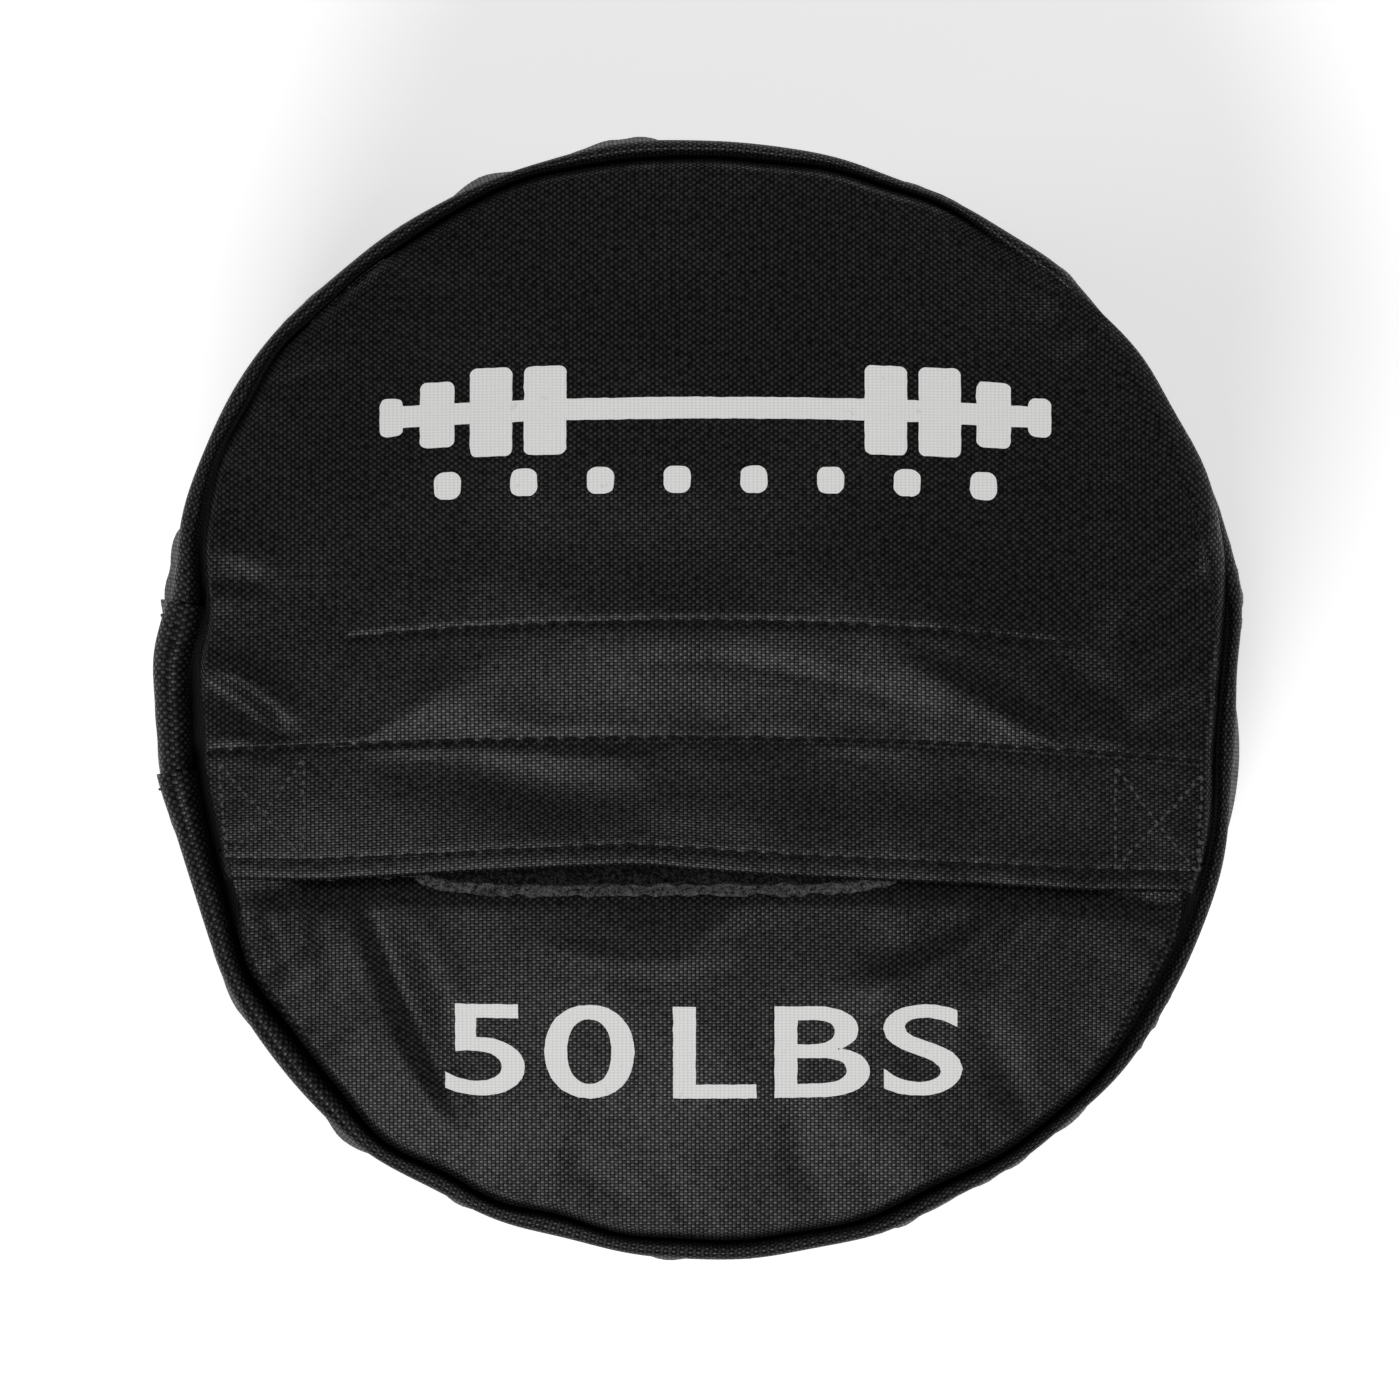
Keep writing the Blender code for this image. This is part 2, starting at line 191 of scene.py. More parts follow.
def fold(x, y, x0, y0, x1, y1, x2, y2, width, ridge, lean):
    """A fold along a curve through three places (mm), fading out at both ends.

    ridge is its height, or its depth where negative. lean raises the side on the left of the curve and lowers
    the side on the right, so that the cloth between them faces right."""
    x, y = np.broadcast_arrays(x, y)
    middle_x, middle_y = 2 * x1 - (x0 + x2) / 2, 2 * y1 - (y0 + y2) / 2
    share = np.linspace(0, 1, 13)
    line_x = ((1 - share) ** 2 * x0 + 2 * share * (1 - share) * middle_x + share**2 * x2) * MM
    line_y = ((1 - share) ** 2 * y0 + 2 * share * (1 - share) * middle_y + share**2 * y2) * MM
    reach = 3.5 * width * MM
    near = (x > line_x.min() - reach) & (x < line_x.max() + reach)
    near &= (y > line_y.min() - reach) & (y < line_y.max() + reach)
    height = np.zeros(np.shape(x))
    if not near.any():
        return height
    near_x, near_y = x[near], y[near]
    closest = np.full(near_x.shape, 1e9)
    place, side = np.zeros(near_x.shape), np.ones(near_x.shape)
    for step in range(12):
        dx, dy = line_x[step + 1] - line_x[step], line_y[step + 1] - line_y[step]
        along = ((near_x - line_x[step]) * dx + (near_y - line_y[step]) * dy) / (dx * dx + dy * dy)
        held = np.clip(along, 0, 1)
        gap_x, gap_y = near_x - line_x[step] - held * dx, near_y - line_y[step] - held * dy
        gap = gap_x**2 + gap_y**2
        nearer = gap < closest
        closest = np.where(nearer, gap, closest)
        place = np.where(nearer, (step + held) / 12, place)
        side = np.where(nearer, np.sign(dx * gap_y - dy * gap_x), side)
    across = np.sqrt(closest) / (width * MM)
    fade = smooth(place, 0, 0.3) * (1 - smooth(place, 0.7, 1)) * 0.85 + 0.15 * np.sin(pi * place)
    profile = ridge * np.exp(-(across**2)) + lean * side * across * np.exp(-(across**2) / 2)
    height[near] = MM * fade * profile
    return height


# ---- the lid's surface ----

FLAT_SHARE = 0.978  # share of the lid's radius that is nearly flat
SHOULDER_SHARE = 0.990
LID_FOLD_GAIN, WALL_FOLD_GAIN = 1.35, 1.45  # how much the folds listed below are raised

lid_unevenness = field_waves(3, 28 * MM, 80 * MM)
lid_fine_unevenness = field_waves(4, 9 * MM, 22 * MM)
lid_puckers = ring_waves(5, 22, 64)
lid_wide_puckers = ring_waves(6, 9, 24)

# Folds of the lid: three places along each, its width, its ridge and its lean (mm)
LID_FOLDS = (
    (-25, 8, 18, 9, 76, -9, 2.4, -0.3, 0.1), (96, -9, 72, 4, 46, 15, 3.6, -0.1, 0.42),
    (112, -4, 98, 2, 84, 12, 4.5, 0, 0.35), (-133, 8, -117, 2, -105, -12, 3.4, 0.45, 1.05),
    (-104, -14, -116, -8, -132, -5, 4, -0.3, 0.6), (106, 13, 120, 32, 138, 43, 4, 0.45, 1),
    (138, 34, 126, 25, 112, 12, 4.5, -0.35, 0.6), (112, -8, 125, 1, 139, 9, 3.6, 0.35, 0.85),
    (139, -4, 134, -4, 128, -5, 2, -0.6, 0), (-132, 39, -119, 36, -104, 26, 5, 0.18, 0.45),
    (-110, 28, -120, 30, -132, 29, 2.6, -0.3, 0.3), (-62, -13, -40, -16, -4, -26, 6.5, 0.2, 0.62),
    (-40, -36, -6, -31, 26, -37, 4.5, 0.1, 0.26), (-44, -19, -64, -21, -92, -17, 6, -0.15, 0.28),
    (96, -22, 70, -25, 36, -24, 6, -0.1, 0.22), (14, -55, -6, -68, -60, -58, 3.2, 0.3, 0),
    (-4, -71, 7, -59, 22, -50, 4.5, 0.25, 0.35), (-58, -116, -76, -82, -90, -44, 4.2, -1, 1.05),
    (-100, -46, -94, -72, -80, -100, 4.5, 0.55, 0.1), (-77, -50, -69, -68, -60, -84, 5, 0.5, 0.1),
    (84, -47, 62, -63, 32, -74, 4.2, -0.35, 0.95), (92, -47, 83, -62, 67, -80, 3.8, -0.35, 0.45),
    (70, -78, 79, -94, 86, -110, 4.5, -0.4, 0), (-36, -114, -26, -123, -12, -133, 3.2, -0.22, 0.12),
    (-10, -118, -6, -128, -3, -138, 3, -0.22, 0), (24, -100, 25, -114, 31, -132, 5, -0.4, 0),
    (62, 124, 71, 117, 82, 110, 4, -0.45, 0.15), (82, 110, 88, 107, 97, 104, 3, -0.35, 0.1),
    (88, 90, 97, 95, 108, 101, 3.6, -0.6, 0.2), (-110, 80, -101, 85, -90, 87, 3, -0.35, 0.12),
    (-84, 116, -70, 112, -48, 116, 6, 0.4, 0.3), (-120, -49, -114, -62, -107, -80, 3.2, -0.6, 0.2),
    (-107, -49, -104, -58, -102, -70, 3, -0.4, 0), (110, -51, 121, -53, 133, -52, 3, -0.5, 0.3),
    (116, 60, 104, 66, 96, 78, 7, -0.4, 0.2), (-90, 46, -60, 40, -20, 42, 9, -0.25, 0.2),
)

# Rows of stitches on the lid: y at the middle, half length, how far the ends droop (mm)
HINGE_ROW = (HINGE.y + 0.6 * MM, ROW_END, 0.0)
HEM_ROW_Y = HEM_Y + 4.6 * MM
HEM_ROW = (HEM_ROW_Y, ROW_END, 0.0)
CHUTE_ROW = (CHUTE_ROW_Y + 1.2 * MM, CHUTE_END, 2.8 * MM)


def row_y(row, x):
    middle, half, droop = row
    return middle - droop * (x / half) ** 2


def warp(x, y):
    """The mouth's rows droop towards both sides of the bag."""
    ends = np.where(x < 0, 3.4 * (x / (126 * MM)) ** 2, 6.4 * (x / (131 * MM)) ** 2) * MM
    return -ends * smooth(y, -105 * MM, -60 * MM) * (1 - smooth(y, 5 * MM, 60 * MM))


def eye(x):
    """1 at the middle of the open stretch of the mouth, 0 at and past its ends."""
    return np.clip(1 - ((x + 13 * MM) / (62 * MM)) ** 2, 0, 1) ** 1.5


# How far the hem is drawn up along the mouth: x and distance (mm)
HEM_DRAW = (
    (-132, -124, -100, -75, -56, -35, -15, 0, 15, 30, 60, 100, 130),
    (3.0, 2.9, 1.3, 1.7, 2.3, 3.0, 3.5, 2.0, 0.9, 0.35, -0.05, 0.35, 2.4),
)


def hem_draw(x):
    """How far the flap's hem is drawn up at x, in metres."""
    offsets = np.linspace(-8, 8, 9)
    return sum(np.interp(x / MM + offset, *HEM_DRAW) for offset in offsets) / offsets.size * MM


def row_valley(x, y, row, depth):
    """The valley that a row of stitches draws in the cloth, deepest at each stitch."""
    beyond = np.clip(np.abs(x) - row[1], 0, None)
    across = np.hypot(y - row_y(row, x), beyond) / (1.1 * MM)
    return -depth * np.exp(-(across**2)) * (1 + 0.25 * np.cos(2 * pi * x / STITCH))


def crest_y(x):
    """The line where the filled lid is highest: along the chute's stitches, falling to the mouth at both ends."""
    return CHUTE_ROW_Y - (CHUTE_ROW_Y - HINGE.y) * smooth(np.abs(x - 2 * MM), 38 * MM, 100 * MM)


def mouth_dent(x, y):
    """The lower panel sags where the mouth gapes, up to a slanting crease."""
    x = x / MM
    reach = np.clip((x + 76) / 70, 0, 1) * (1 - smooth(x, -6, 20))
    crease = 51 + 15.5 * reach
    return -1.9 * MM * reach * (1 - smooth(-y / MM, 50 - 6 * reach, crease)) * smooth(-y / MM, 44, 49)


def lid_top(x, y, cut_y):
    """Height of the lid's outer face before it curves down into the seam.

    cut_y is the place on the flat cloth, where the rows of stitches run straight."""
    radius, turn = polar(x, y)
    crest = crest_y(x)
    swell = 3.4 * MM * (1 - smooth(np.abs(x - 2 * MM), 42 * MM, 104 * MM))
    behind, ahead = np.clip(cut_y - crest, 0, None), np.clip(HINGE.y - cut_y, 0, None)
    dome = swell * smooth(cut_y, HINGE.y, crest + 0.1 * MM) - 0.80 * behind**2 - 0.62 * ahead**2
    dome = dome - 6.4 * MM * smooth(np.abs(x), 20 * MM, 190 * MM)
    loose = lid_unevenness(x, y) * 0.28 * MM + lid_fine_unevenness(x, y) * 0.05 * MM
    rim = np.exp(-np.clip(groove_radius(turn) - radius, 0, None) / (10 * MM))
    ridges = (np.abs(lid_puckers(turn)) ** 0.7 - 0.6) * 0.22 * MM + lid_wide_puckers(turn) * 0.26 * MM
    loose = loose + ridges * rim
    for line in LID_FOLDS:
        loose = loose + LID_FOLD_GAIN * fold(x, y, *line)
    away = smooth(np.abs(cut_y - HINGE.y), 0, 5 * MM)
    rows = row_valley(x, cut_y, HINGE_ROW, 0.14 * MM) + row_valley(x, cut_y, CHUTE_ROW, 0.40 * MM)
    return LID_TOP + dome + mouth_dent(x, y) + loose * away + rows


def on_lid(flat, height=0.0, sink=0.0, inset=0.0):
    """Lays a point of a flat cut on the lid, at a height above the cloth's outer face.

    sink lowers the cloth below the lid's top layer, and inset draws its edge in from the seam."""
    x, cut_y = flat[:, 0], flat[:, 1]
    y = cut_y + warp(x, cut_y)
    radius, turn = polar(x, y)
    out = overhang(turn)
    groove = groove_radius(turn)
    seam = groove - groove_half(turn) - inset
    edge = seam + out * (outer_radius(turn) - seam)
    share = radius / groove
    flat_radius = groove * FLAT_SHARE
    arc = share_of(share, FLAT_SHARE, SHOULDER_SHARE) * (pi / 2 + out * 0.9)
    placed = np.where(share < FLAT_SHARE, radius, flat_radius + (edge - flat_radius) * np.sin(arc))
    low = SEAM_Z - 2 * MM * out
    level = low + (lid_top(x, y, cut_y) - sink - low) * np.cos(arc)
    level = level - SEAM_DEPTH * np.clip((share - SHOULDER_SHARE) / (1 - SHOULDER_SHARE), 0, None)
    return turned(placed, turn, level + height)


def lid_cut(flat):
    """Where a point of the lid lies on the flat cloth: the shoulder takes more cloth than it covers from above."""
    x, y = flat[:, 0], flat[:, 1]
    radius, turn = polar(x, y)
    groove, out = groove_radius(turn), overhang(turn)
    start = groove * FLAT_SHARE
    across = groove - groove_half(turn) + out * (outer_radius(turn) - groove) - start
    length = pi / 2 * np.sqrt((across**2 + (6 * MM) ** 2) / 2) * (1 + 0.57 * out)
    radius = radius + np.clip(radius - start, 0, None) * (length / (groove * (SHOULDER_SHARE - FLAT_SHARE)) - 1)
    return turned(radius, turn, 0 * radius)


def eye_warp(flat):
    """The flap's hem is drawn up at the middle of the mouth and at both of its ends."""
    x, y = flat[:, 0], flat[:, 1]
    share = smooth(y, HINGE.y - 8 * MM, HEM_Y)
    return np.stack([x, y + hem_draw(x) * share], axis=1), 1.3 * MM * eye(x) * share


def on_band(flat, height=0.0):
    """Lays a point of the flap's cut on the lid, with the flap's own hem line."""
    moved, lift = eye_warp(flat)
    x, y = flat[:, 0], flat[:, 1]
    raised = 0.5 * MM * smooth(y, HINGE.y + 0.4 * MM, HINGE.y - 0.8 * MM)
    rounded = -0.20 * MM * smooth(y, HEM_Y + 0.8 * MM, HEM_Y - 0.4 * MM)
    return on_lid(moved, height + lift + raised + rounded + row_valley(x, y, HEM_ROW, 0.22 * MM))


def mouth_depth(x, y):
    """How far the lower panel lies below the lid's top layer."""
    free = 1 - smooth(np.abs(x), 98 * MM, 110 * MM)
    under = smooth(y, -53 * MM, -45.5 * MM)
    tapes = LID_TOP - LOOP_TAPE_LOW.z + 0.3 * MM
    inner = smooth(y, -47.5 * MM, -41.5 * MM)
    gaping = np.clip(1 - ((x + 11 * MM) / (66 * MM)) ** 4, 0, 1)
    deep = 1.5 * MM + (tapes - 1.5 * MM) * np.maximum(inner, gaping * 0.45) * free
    return 0.2 * MM + under * deep


def on_lower(flat, height=0.0):
    x, y = flat[:, 0], flat[:, 1]
    under = smooth(y, -58 * MM, -47 * MM)
    return on_lid(flat, height, sink=mouth_depth(x, y), inset=1.5 * MM * under)


# ---- the wall's surface ----

wall_puckers = ring_waves(21, 26, 72)
wall_wide_puckers = ring_waves(22, 8, 26)
base_puckers = ring_waves(23, 16, 54)
base_wide_puckers = ring_waves(24, 7, 22)
pucker_reach = ring_waves(25, 3, 11)
belly_waves = [(ring_waves(30 + step, 2, 11), step) for step in range(1, 6)]
base_outline = ring_waves(41, 2, 7)

# Folds of the wall: three places along each (mm round the bag and mm up), its width, its ridge and its lean (mm)
WALL_FOLDS = (
    (-392, 50, -350, 64, -300, 44, 10, -3.6, 1.3), (-318, 28, -268, 46, -214, 34, 8, -3, 1),
    (-238, 74, -176, 56, -128, 76, 11, -3.6, -1.3), (-140, 32, -92, 46, -40, 28, 8, -3, 1),
    (-66, 66, -6, 50, 44, 72, 11, -3.6, -1.3), (30, 28, 84, 44, 132, 30, 8, -2.8, 1),
    (112, 70, 170, 52, 226, 68, 11, -3.6, -1.2), (214, 34, 262, 48, 312, 30, 8, -3, 1),
    (300, 64, 350, 48, 398, 68, 10, -3.4, -1.1), (-384, 216, -366, 170, -336, 112, 10, -2.8, 1.1),
    (-330, 206, -318, 180, -322, 146, 8, 2.2, 0), (-290, 218, -262, 168, -254, 104, 13, -3.4, 1.2),
    (-226, 208, -234, 182, -222, 152, 8, 2, 0.5), (-172, 218, -194, 160, -176, 100, 12, -3.2, -1.2),
    (-130, 206, -118, 180, -124, 154, 7, 1.9, 0), (-88, 216, -66, 168, -74, 110, 11, -3.2, 1.2),
    (-26, 212, -38, 178, -22, 140, 9, -2.2, 0.8), (24, 218, 44, 164, 30, 102, 12, -3.4, -1.2),
    (78, 206, 70, 182, 82, 156, 7, 1.9, 0), (118, 216, 142, 162, 128, 106, 11, -3.2, 1.2),
    (182, 212, 168, 176, 184, 130, 9, -2.4, -0.9), (230, 218, 252, 162, 236, 104, 13, -3.4, 1.2),
    (290, 206, 280, 180, 292, 150, 8, 2, 0), (332, 216, 354, 166, 344, 112, 11, -3.2, -1.1),
    (390, 210, 378, 176, 394, 138, 9, -2.2, 0.7), (-350, 120, -300, 96, -246, 108, 16, -2.2, 1),
    (-150, 118, -104, 92, -50, 104, 16, -2.4, -1), (60, 112, 108, 92, 160, 108, 16, -2.2, 1),
    (250, 108, 300, 90, 350, 106, 16, -2.4, -1),
)

# Shares of the wall's cut at the ends of its seven stretches, from its top raw edge to its lower one
SLOT, INNER, OUTER, STRAIGHT = 0.03, 0.075, 0.13, 0.87
STRETCH_ENDS = (0, SLOT, INNER, OUTER, STRAIGHT, 1 - INNER, 1 - SLOT, 1)
STRETCH_ROWS = (4, 5, 7, 75, 7, 5, 4)
WALL_ROWS = [
    np.linspace(start, end, rows, endpoint=False)
    for start, end, rows in zip(STRETCH_ENDS, STRETCH_ENDS[1:], STRETCH_ROWS)
]
WALL_ROWS = np.concatenate([*WALL_ROWS, [1.0]])


def wall_radius(turn, z):
    """Radius of the filled wall, away from its rolled edges."""
    fade = smooth(z, 60 * MM, 205 * MM)
    settled = ROUND_RADIUS - 0.6 * MM + 0.5 * lobes(turn, OUTLINE) + base_outline(turn) * 1.5 * MM
    height = z / LID_TOP
    belly = 2.6 * MM * np.sin(pi * np.clip(height, 0, 1)) * (1.3 - 0.7 * height)
    radius = outer_radius(turn) * fade + settled * (1 - fade) + belly * (1 - smooth(z, 190 * MM, 236 * MM))
    high_up = smooth(z, 100 * MM, 190 * MM)
    for wave, step in belly_waves:
        radius = radius + wave(turn) * np.sin(step * pi * height) * 1.25 * MM / step**0.5 * (1 - 0.7 * high_up)
    uneven = 1 + 0.45 * np.clip(pucker_reach(turn), -1, 1)
    near_top = np.exp(-np.clip(SEAM_Z - z, 0, None) / (18 * MM * uneven))
    near_base = np.exp(-np.clip(z - BASE_SEAM_Z, 0, None) / (20 * MM * (2 - uneven)))
    below_seam = smooth(SEAM_Z - z, 2 * MM, 14 * MM)
    radius = radius + (np.abs(wall_puckers(turn)) ** 0.7 - 0.6) * 1.5 * MM * near_top * below_seam
    radius = radius + wall_wide_puckers(turn) * 1.4 * MM * near_top * below_seam
    radius = radius + (np.abs(base_puckers(turn)) ** 0.7 - 0.6) * 1.5 * MM * near_base * uneven
    radius = radius + base_wide_puckers(turn) * 1.2 * MM * near_base
    for line in WALL_FOLDS:
        radius = radius + WALL_FOLD_GAIN * fold(turn * BASE_RADIUS, z, *line)
    return radius


def lap_height(turn):
    """The wall's end that lies on the strip stands proud of it."""
    degrees = np.degrees(turn) % 360
    return 1.1 * MM * (1 - smooth(degrees, STRIP_UNDER, STRIP_UNDER + 7)) * (degrees > STRIP_UNDER - 0.5)


def wall_place(turn, share):
    """A point of the wall's outer face: share runs from the raw edge under the lid to the one under the base."""
    outer, groove = outer_radius(turn), groove_radius(turn)
    hidden = overhang(turn)
    seam = SEAM_Z - 8 * MM * hidden
    groove = groove - 2.5 * MM * hidden
    lip = groove + groove_half(turn)
    roll_top = seam + ROLL_HEIGHT
    middle = lip + 0.45 * (outer - lip)
    shoulder = roll_top - (outer - middle) - 1.5 * MM
    base_lip = wall_radius(turn, BASE_LIP_Z) - 6.5 * MM
    base_outer = wall_radius(turn, 17 * MM)
    base_middle = (base_lip + base_outer) / 2
    base_crest = 4.2 * MM
    base_shoulder = base_crest + 9 * MM
    slot, inner, crown, straight, under, back, tail = (
        share_of(share, start, end) for start, end in zip(STRETCH_ENDS, STRETCH_ENDS[1:])
    )
    inner, crown, under, back = (part * pi / 2 for part in (inner, crown, under, back))
    z_straight = shoulder + (base_shoulder - shoulder) * straight
    at_top = 1 - smooth(shoulder - z_straight, 0, 16 * MM)
    at_base = 1 - smooth(z_straight - base_shoulder, 0, 9 * MM)
    r_straight = wall_radius(turn, z_straight)
    r_straight = r_straight + at_top * (outer - wall_radius(turn, shoulder))
    r_straight = r_straight + at_base * (base_outer - wall_radius(turn, base_shoulder))
    stretches = (
        (lip, seam - SEAM_DEPTH * (1 - slot)),
        (middle - (middle - lip) * np.cos(inner), seam + ROLL_HEIGHT * np.sin(inner)),
        (middle + (outer - middle) * np.sin(crown), shoulder + (roll_top - shoulder) * np.cos(crown)),
        (r_straight, z_straight),
        (base_middle + (base_outer - base_middle) * np.cos(under),
         base_shoulder - (base_shoulder - base_crest) * np.sin(under)),
        (base_middle - (base_middle - base_lip) * np.sin(back),
         base_crest + (BASE_SEAM_Z - base_crest) * (1 - np.cos(back))),
        (base_lip, BASE_SEAM_Z + SEAM_DEPTH * tail),
    )
    before = [share < end for end in STRETCH_ENDS[1:-1]]
    radius, z = (np.select(before, choices[:-1], choices[-1]) for choices in zip(*stretches))
    return radius, z


def on_wall(flat, height=0.0):
    """Lays a point of the wall's cut on the bag: x is the angle in radians, y the share of the cut's depth."""
    turn, share = flat[:, 0], flat[:, 1]
    radius, z = wall_place(turn, share)
    ahead_radius, ahead_z = wall_place(turn, share + 0.002)
    behind_radius, behind_z = wall_place(turn, share - 0.002)
    along_r, along_z = ahead_radius - behind_radius, ahead_z - behind_z
    length = np.hypot(along_r, along_z) + 1e-12
    return turned(radius - height * along_z / length, turn, z + height * along_r / length)


STRIP_OVER = 180 - np.degrees(np.arcsin(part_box("side_seam_strip")[1].y / BASE_RADIUS))
STRIP_UNDER = 187.8


# ---- modelling ----


def deselect():
    if bpy.context.object and bpy.context.object.mode != "OBJECT":
        bpy.ops.object.mode_set(mode="OBJECT")
    bpy.ops.object.select_all(action="DESELECT")


def activate(piece):
    deselect()
    piece.select_set(True)
    bpy.context.view_layer.objects.active = piece


@contextmanager
def editing(piece):
    """Edit mode with all of the piece selected."""
    activate(piece)
    bpy.ops.object.mode_set(mode="EDIT")
    bpy.ops.mesh.select_all(action="SELECT")
    yield
    bpy.ops.object.mode_set(mode="OBJECT")


def points(piece):
    flat = np.empty(len(piece.data.vertices) * 3)
    piece.data.vertices.foreach_get("co", flat)
    return flat.reshape(-1, 3)


def set_points(piece, places):
    piece.data.vertices.foreach_set("co", places.astype(np.float32).ravel())
    piece.data.update()


def set_weave_map(piece, places):
    """Stores each point's place on the flat cut, in metres, so that the weave follows the cloth."""
    layer = piece.data.uv_layers.get("cut") or piece.data.uv_layers.new(name="cut")
    corners = np.empty(len(piece.data.loops), int)
    piece.data.loops.foreach_get("vertex_index", corners)
    layer.data.foreach_set("uv", places[corners, :2].astype(np.float32).ravel())


def named(name):
    """Names the piece that was just added."""
    piece = bpy.context.object
    piece.name = piece.data.name = name
    return piece


def joined(pieces, name):
    """Joins copies of a shape into one piece."""
    deselect()
    for piece in pieces:
        piece.select_set(True)
    bpy.context.view_layer.objects.active = pieces[0]
    bpy.ops.object.join()
    return named(name)


def flat_cut(name, columns, rows):
    """A square grid of cloth from -1 to 1 in X and Y."""
    deselect()
    bpy.ops.mesh.primitive_grid_add(x_subdivisions=columns, y_subdivisions=rows, size=2, calc_uvs=False)
    return named(name)


def grid_rows(grid, count):
    """The row that each point of a flat cut lies in, from 0 at the back to count - 1 at the front."""
    return np.rint((1 - grid[:, 1]) / 2 * (count - 1)).astype(int)


def cut_along(piece, place, normal):
    """Cuts a flat piece with an upright plane and keeps the side that the normal points to."""
    with editing(piece):
        bpy.ops.mesh.bisect(plane_co=place, plane_no=normal, clear_inner=True)


def merge_and_face_out(piece):
    with editing(piece):
        bpy.ops.mesh.remove_doubles(threshold=0.00001)
        bpy.ops.mesh.normals_make_consistent(inside=False)


def thicken(piece, thickness=CLOTH):
    """Gives a laid sheet its thickness, inwards from its outer face."""
    activate(piece)
    solid = piece.modifiers.new("thickness", "SOLIDIFY")
    solid.thickness = thickness
    solid.offset = -1.0
    solid.use_even_offset = False
    bpy.ops.object.modifier_apply(modifier=solid.name)
    bpy.ops.object.shade_smooth_by_angle(angle=SMOOTH_ANGLE)


def finish_piece(piece, slot, *nodes, body="bag", material=None):
    piece.data.materials.clear()
    piece.data.materials.append(material or MATERIALS[slot])
    if body:
        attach(piece, body)
    if nodes:
        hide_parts(*nodes)
    return piece


def across_mouth(piece):
    """Bakes the piece's placement into its points."""
    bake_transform(piece)


# ---- materials ----


def grey(level, blue=1.0):
    return level, level, level * blue


class Value:
    """A shader socket that can be used in Python arithmetic."""

    def __init__(self, shader, socket):
        self.shader, self.socket = shader, socket

    def math(self, operation, *others):
        return self.shader.node("ShaderNodeMath", {"operation": operation}, dict(enumerate((self, *others))))

    def operator(name):
        return lambda self, *others: self.math(name, *others)

    __add__ = __radd__ = operator("ADD")
    __sub__ = operator("SUBTRACT")
    __mul__ = __rmul__ = operator("MULTIPLY")
    __pow__ = operator("POWER")
    __gt__ = operator("GREATER_THAN")
    __abs__ = operator("ABSOLUTE")
    sine = operator("SINE")

    def __rsub__(self, other):
        return self.shader.node("ShaderNodeMath", {"operation": "SUBTRACT"}, {0: other, 1: self})


class Shader:
    """A node material, built by adding nodes and joining them to the Principled shader."""

    def __init__(self, name):
        self.material = bpy.data.materials.new(name)
        self.material.use_nodes = True
        self.tree = self.material.node_tree
        self.surface = self.tree.nodes["Principled BSDF"]

    def fill(self, socket, value):
        if isinstance(value, Value):
            self.tree.links.new(value.socket, socket)
        elif isinstance(value, tuple) and socket.type == "RGBA":
            socket.default_value = (*value, 1.0)
        else:
            socket.default_value = value

    def node(self, kind, settings, values, output=0):
        made = self.tree.nodes.new(kind)
        for name, value in settings.items():
            setattr(made, name, value)
        for name, value in values.items():
            self.fill(made.inputs[name], value)
        return Value(self, made.outputs[output])

    def mix(self, share, low, high):
        return self.node("ShaderNodeMix", {"data_type": "RGBA"}, {0: share, 6: low, 7: high}, 2)

    def noise(self, place, scale, detail=3.0, roughness=0.55):
        return self.node(
            "ShaderNodeTexNoise", {}, {"Vector": place, "Scale": scale, "Detail": detail, "Roughness": roughness}
        )

    def split(self, vector):
        first = self.node("ShaderNodeSeparateXYZ", {}, {0: vector})
        return [Value(self, output) for output in first.socket.node.outputs]

    def cut_map(self):
        return self.node("ShaderNodeUVMap", {"uv_map": "cut"}, {})

    def object_place(self):
        return self.node("ShaderNodeTexCoord", {}, {}, 3)

    def bump(self, height, distance, strength=1.0):
        return self.node("ShaderNodeBump", {}, {"Height": height, "Distance": distance, "Strength": strength})

    def painted_gap_shade(self, cover, colour):
        """Painted shade: mixes a dead matt colour in wherever the cover is low, so the gaps between threads go dark.
        """
        matt = self.tree.nodes.new("ShaderNodeBsdfDiffuse")
        matt.inputs["Color"].default_value = (*colour, 1.0)
        both = self.tree.nodes.new("ShaderNodeMixShader")
        self.fill(both.inputs[0], cover)
        self.tree.links.new(matt.outputs[0], both.inputs[1])
        self.tree.links.new(self.surface.outputs[0], both.inputs[2])
        self.tree.links.new(both.outputs[0], self.tree.nodes["Material Output"].inputs["Surface"])
        return self.material

    def finish(self, **sockets):
        for name, value in sockets.items():
            self.fill(self.surface.inputs[name.replace("_", " ")], value)
        return self.material


WARP_PITCH = 1.06 * MM
WEFT_PITCH = 0.76 * MM


def weave_height(shader, place):
    """Plain weave: each thread rises over one neighbour and dips under the next. Gives height and which is on top."""
    x, y, _ = shader.split(place)
    across = (x * (pi / WARP_PITCH)).sine()
    along = (y * (pi / WEFT_PITCH)).sine()
    on_top = (across * along) > 0.0
    warp_thread = (abs(across) ** 0.55) * (abs(along) ** 0.3)
    weft_thread = (abs(across) ** 0.3) * (abs(along) ** 0.55)
    return on_top * warp_thread, (1.0 - on_top) * weft_thread


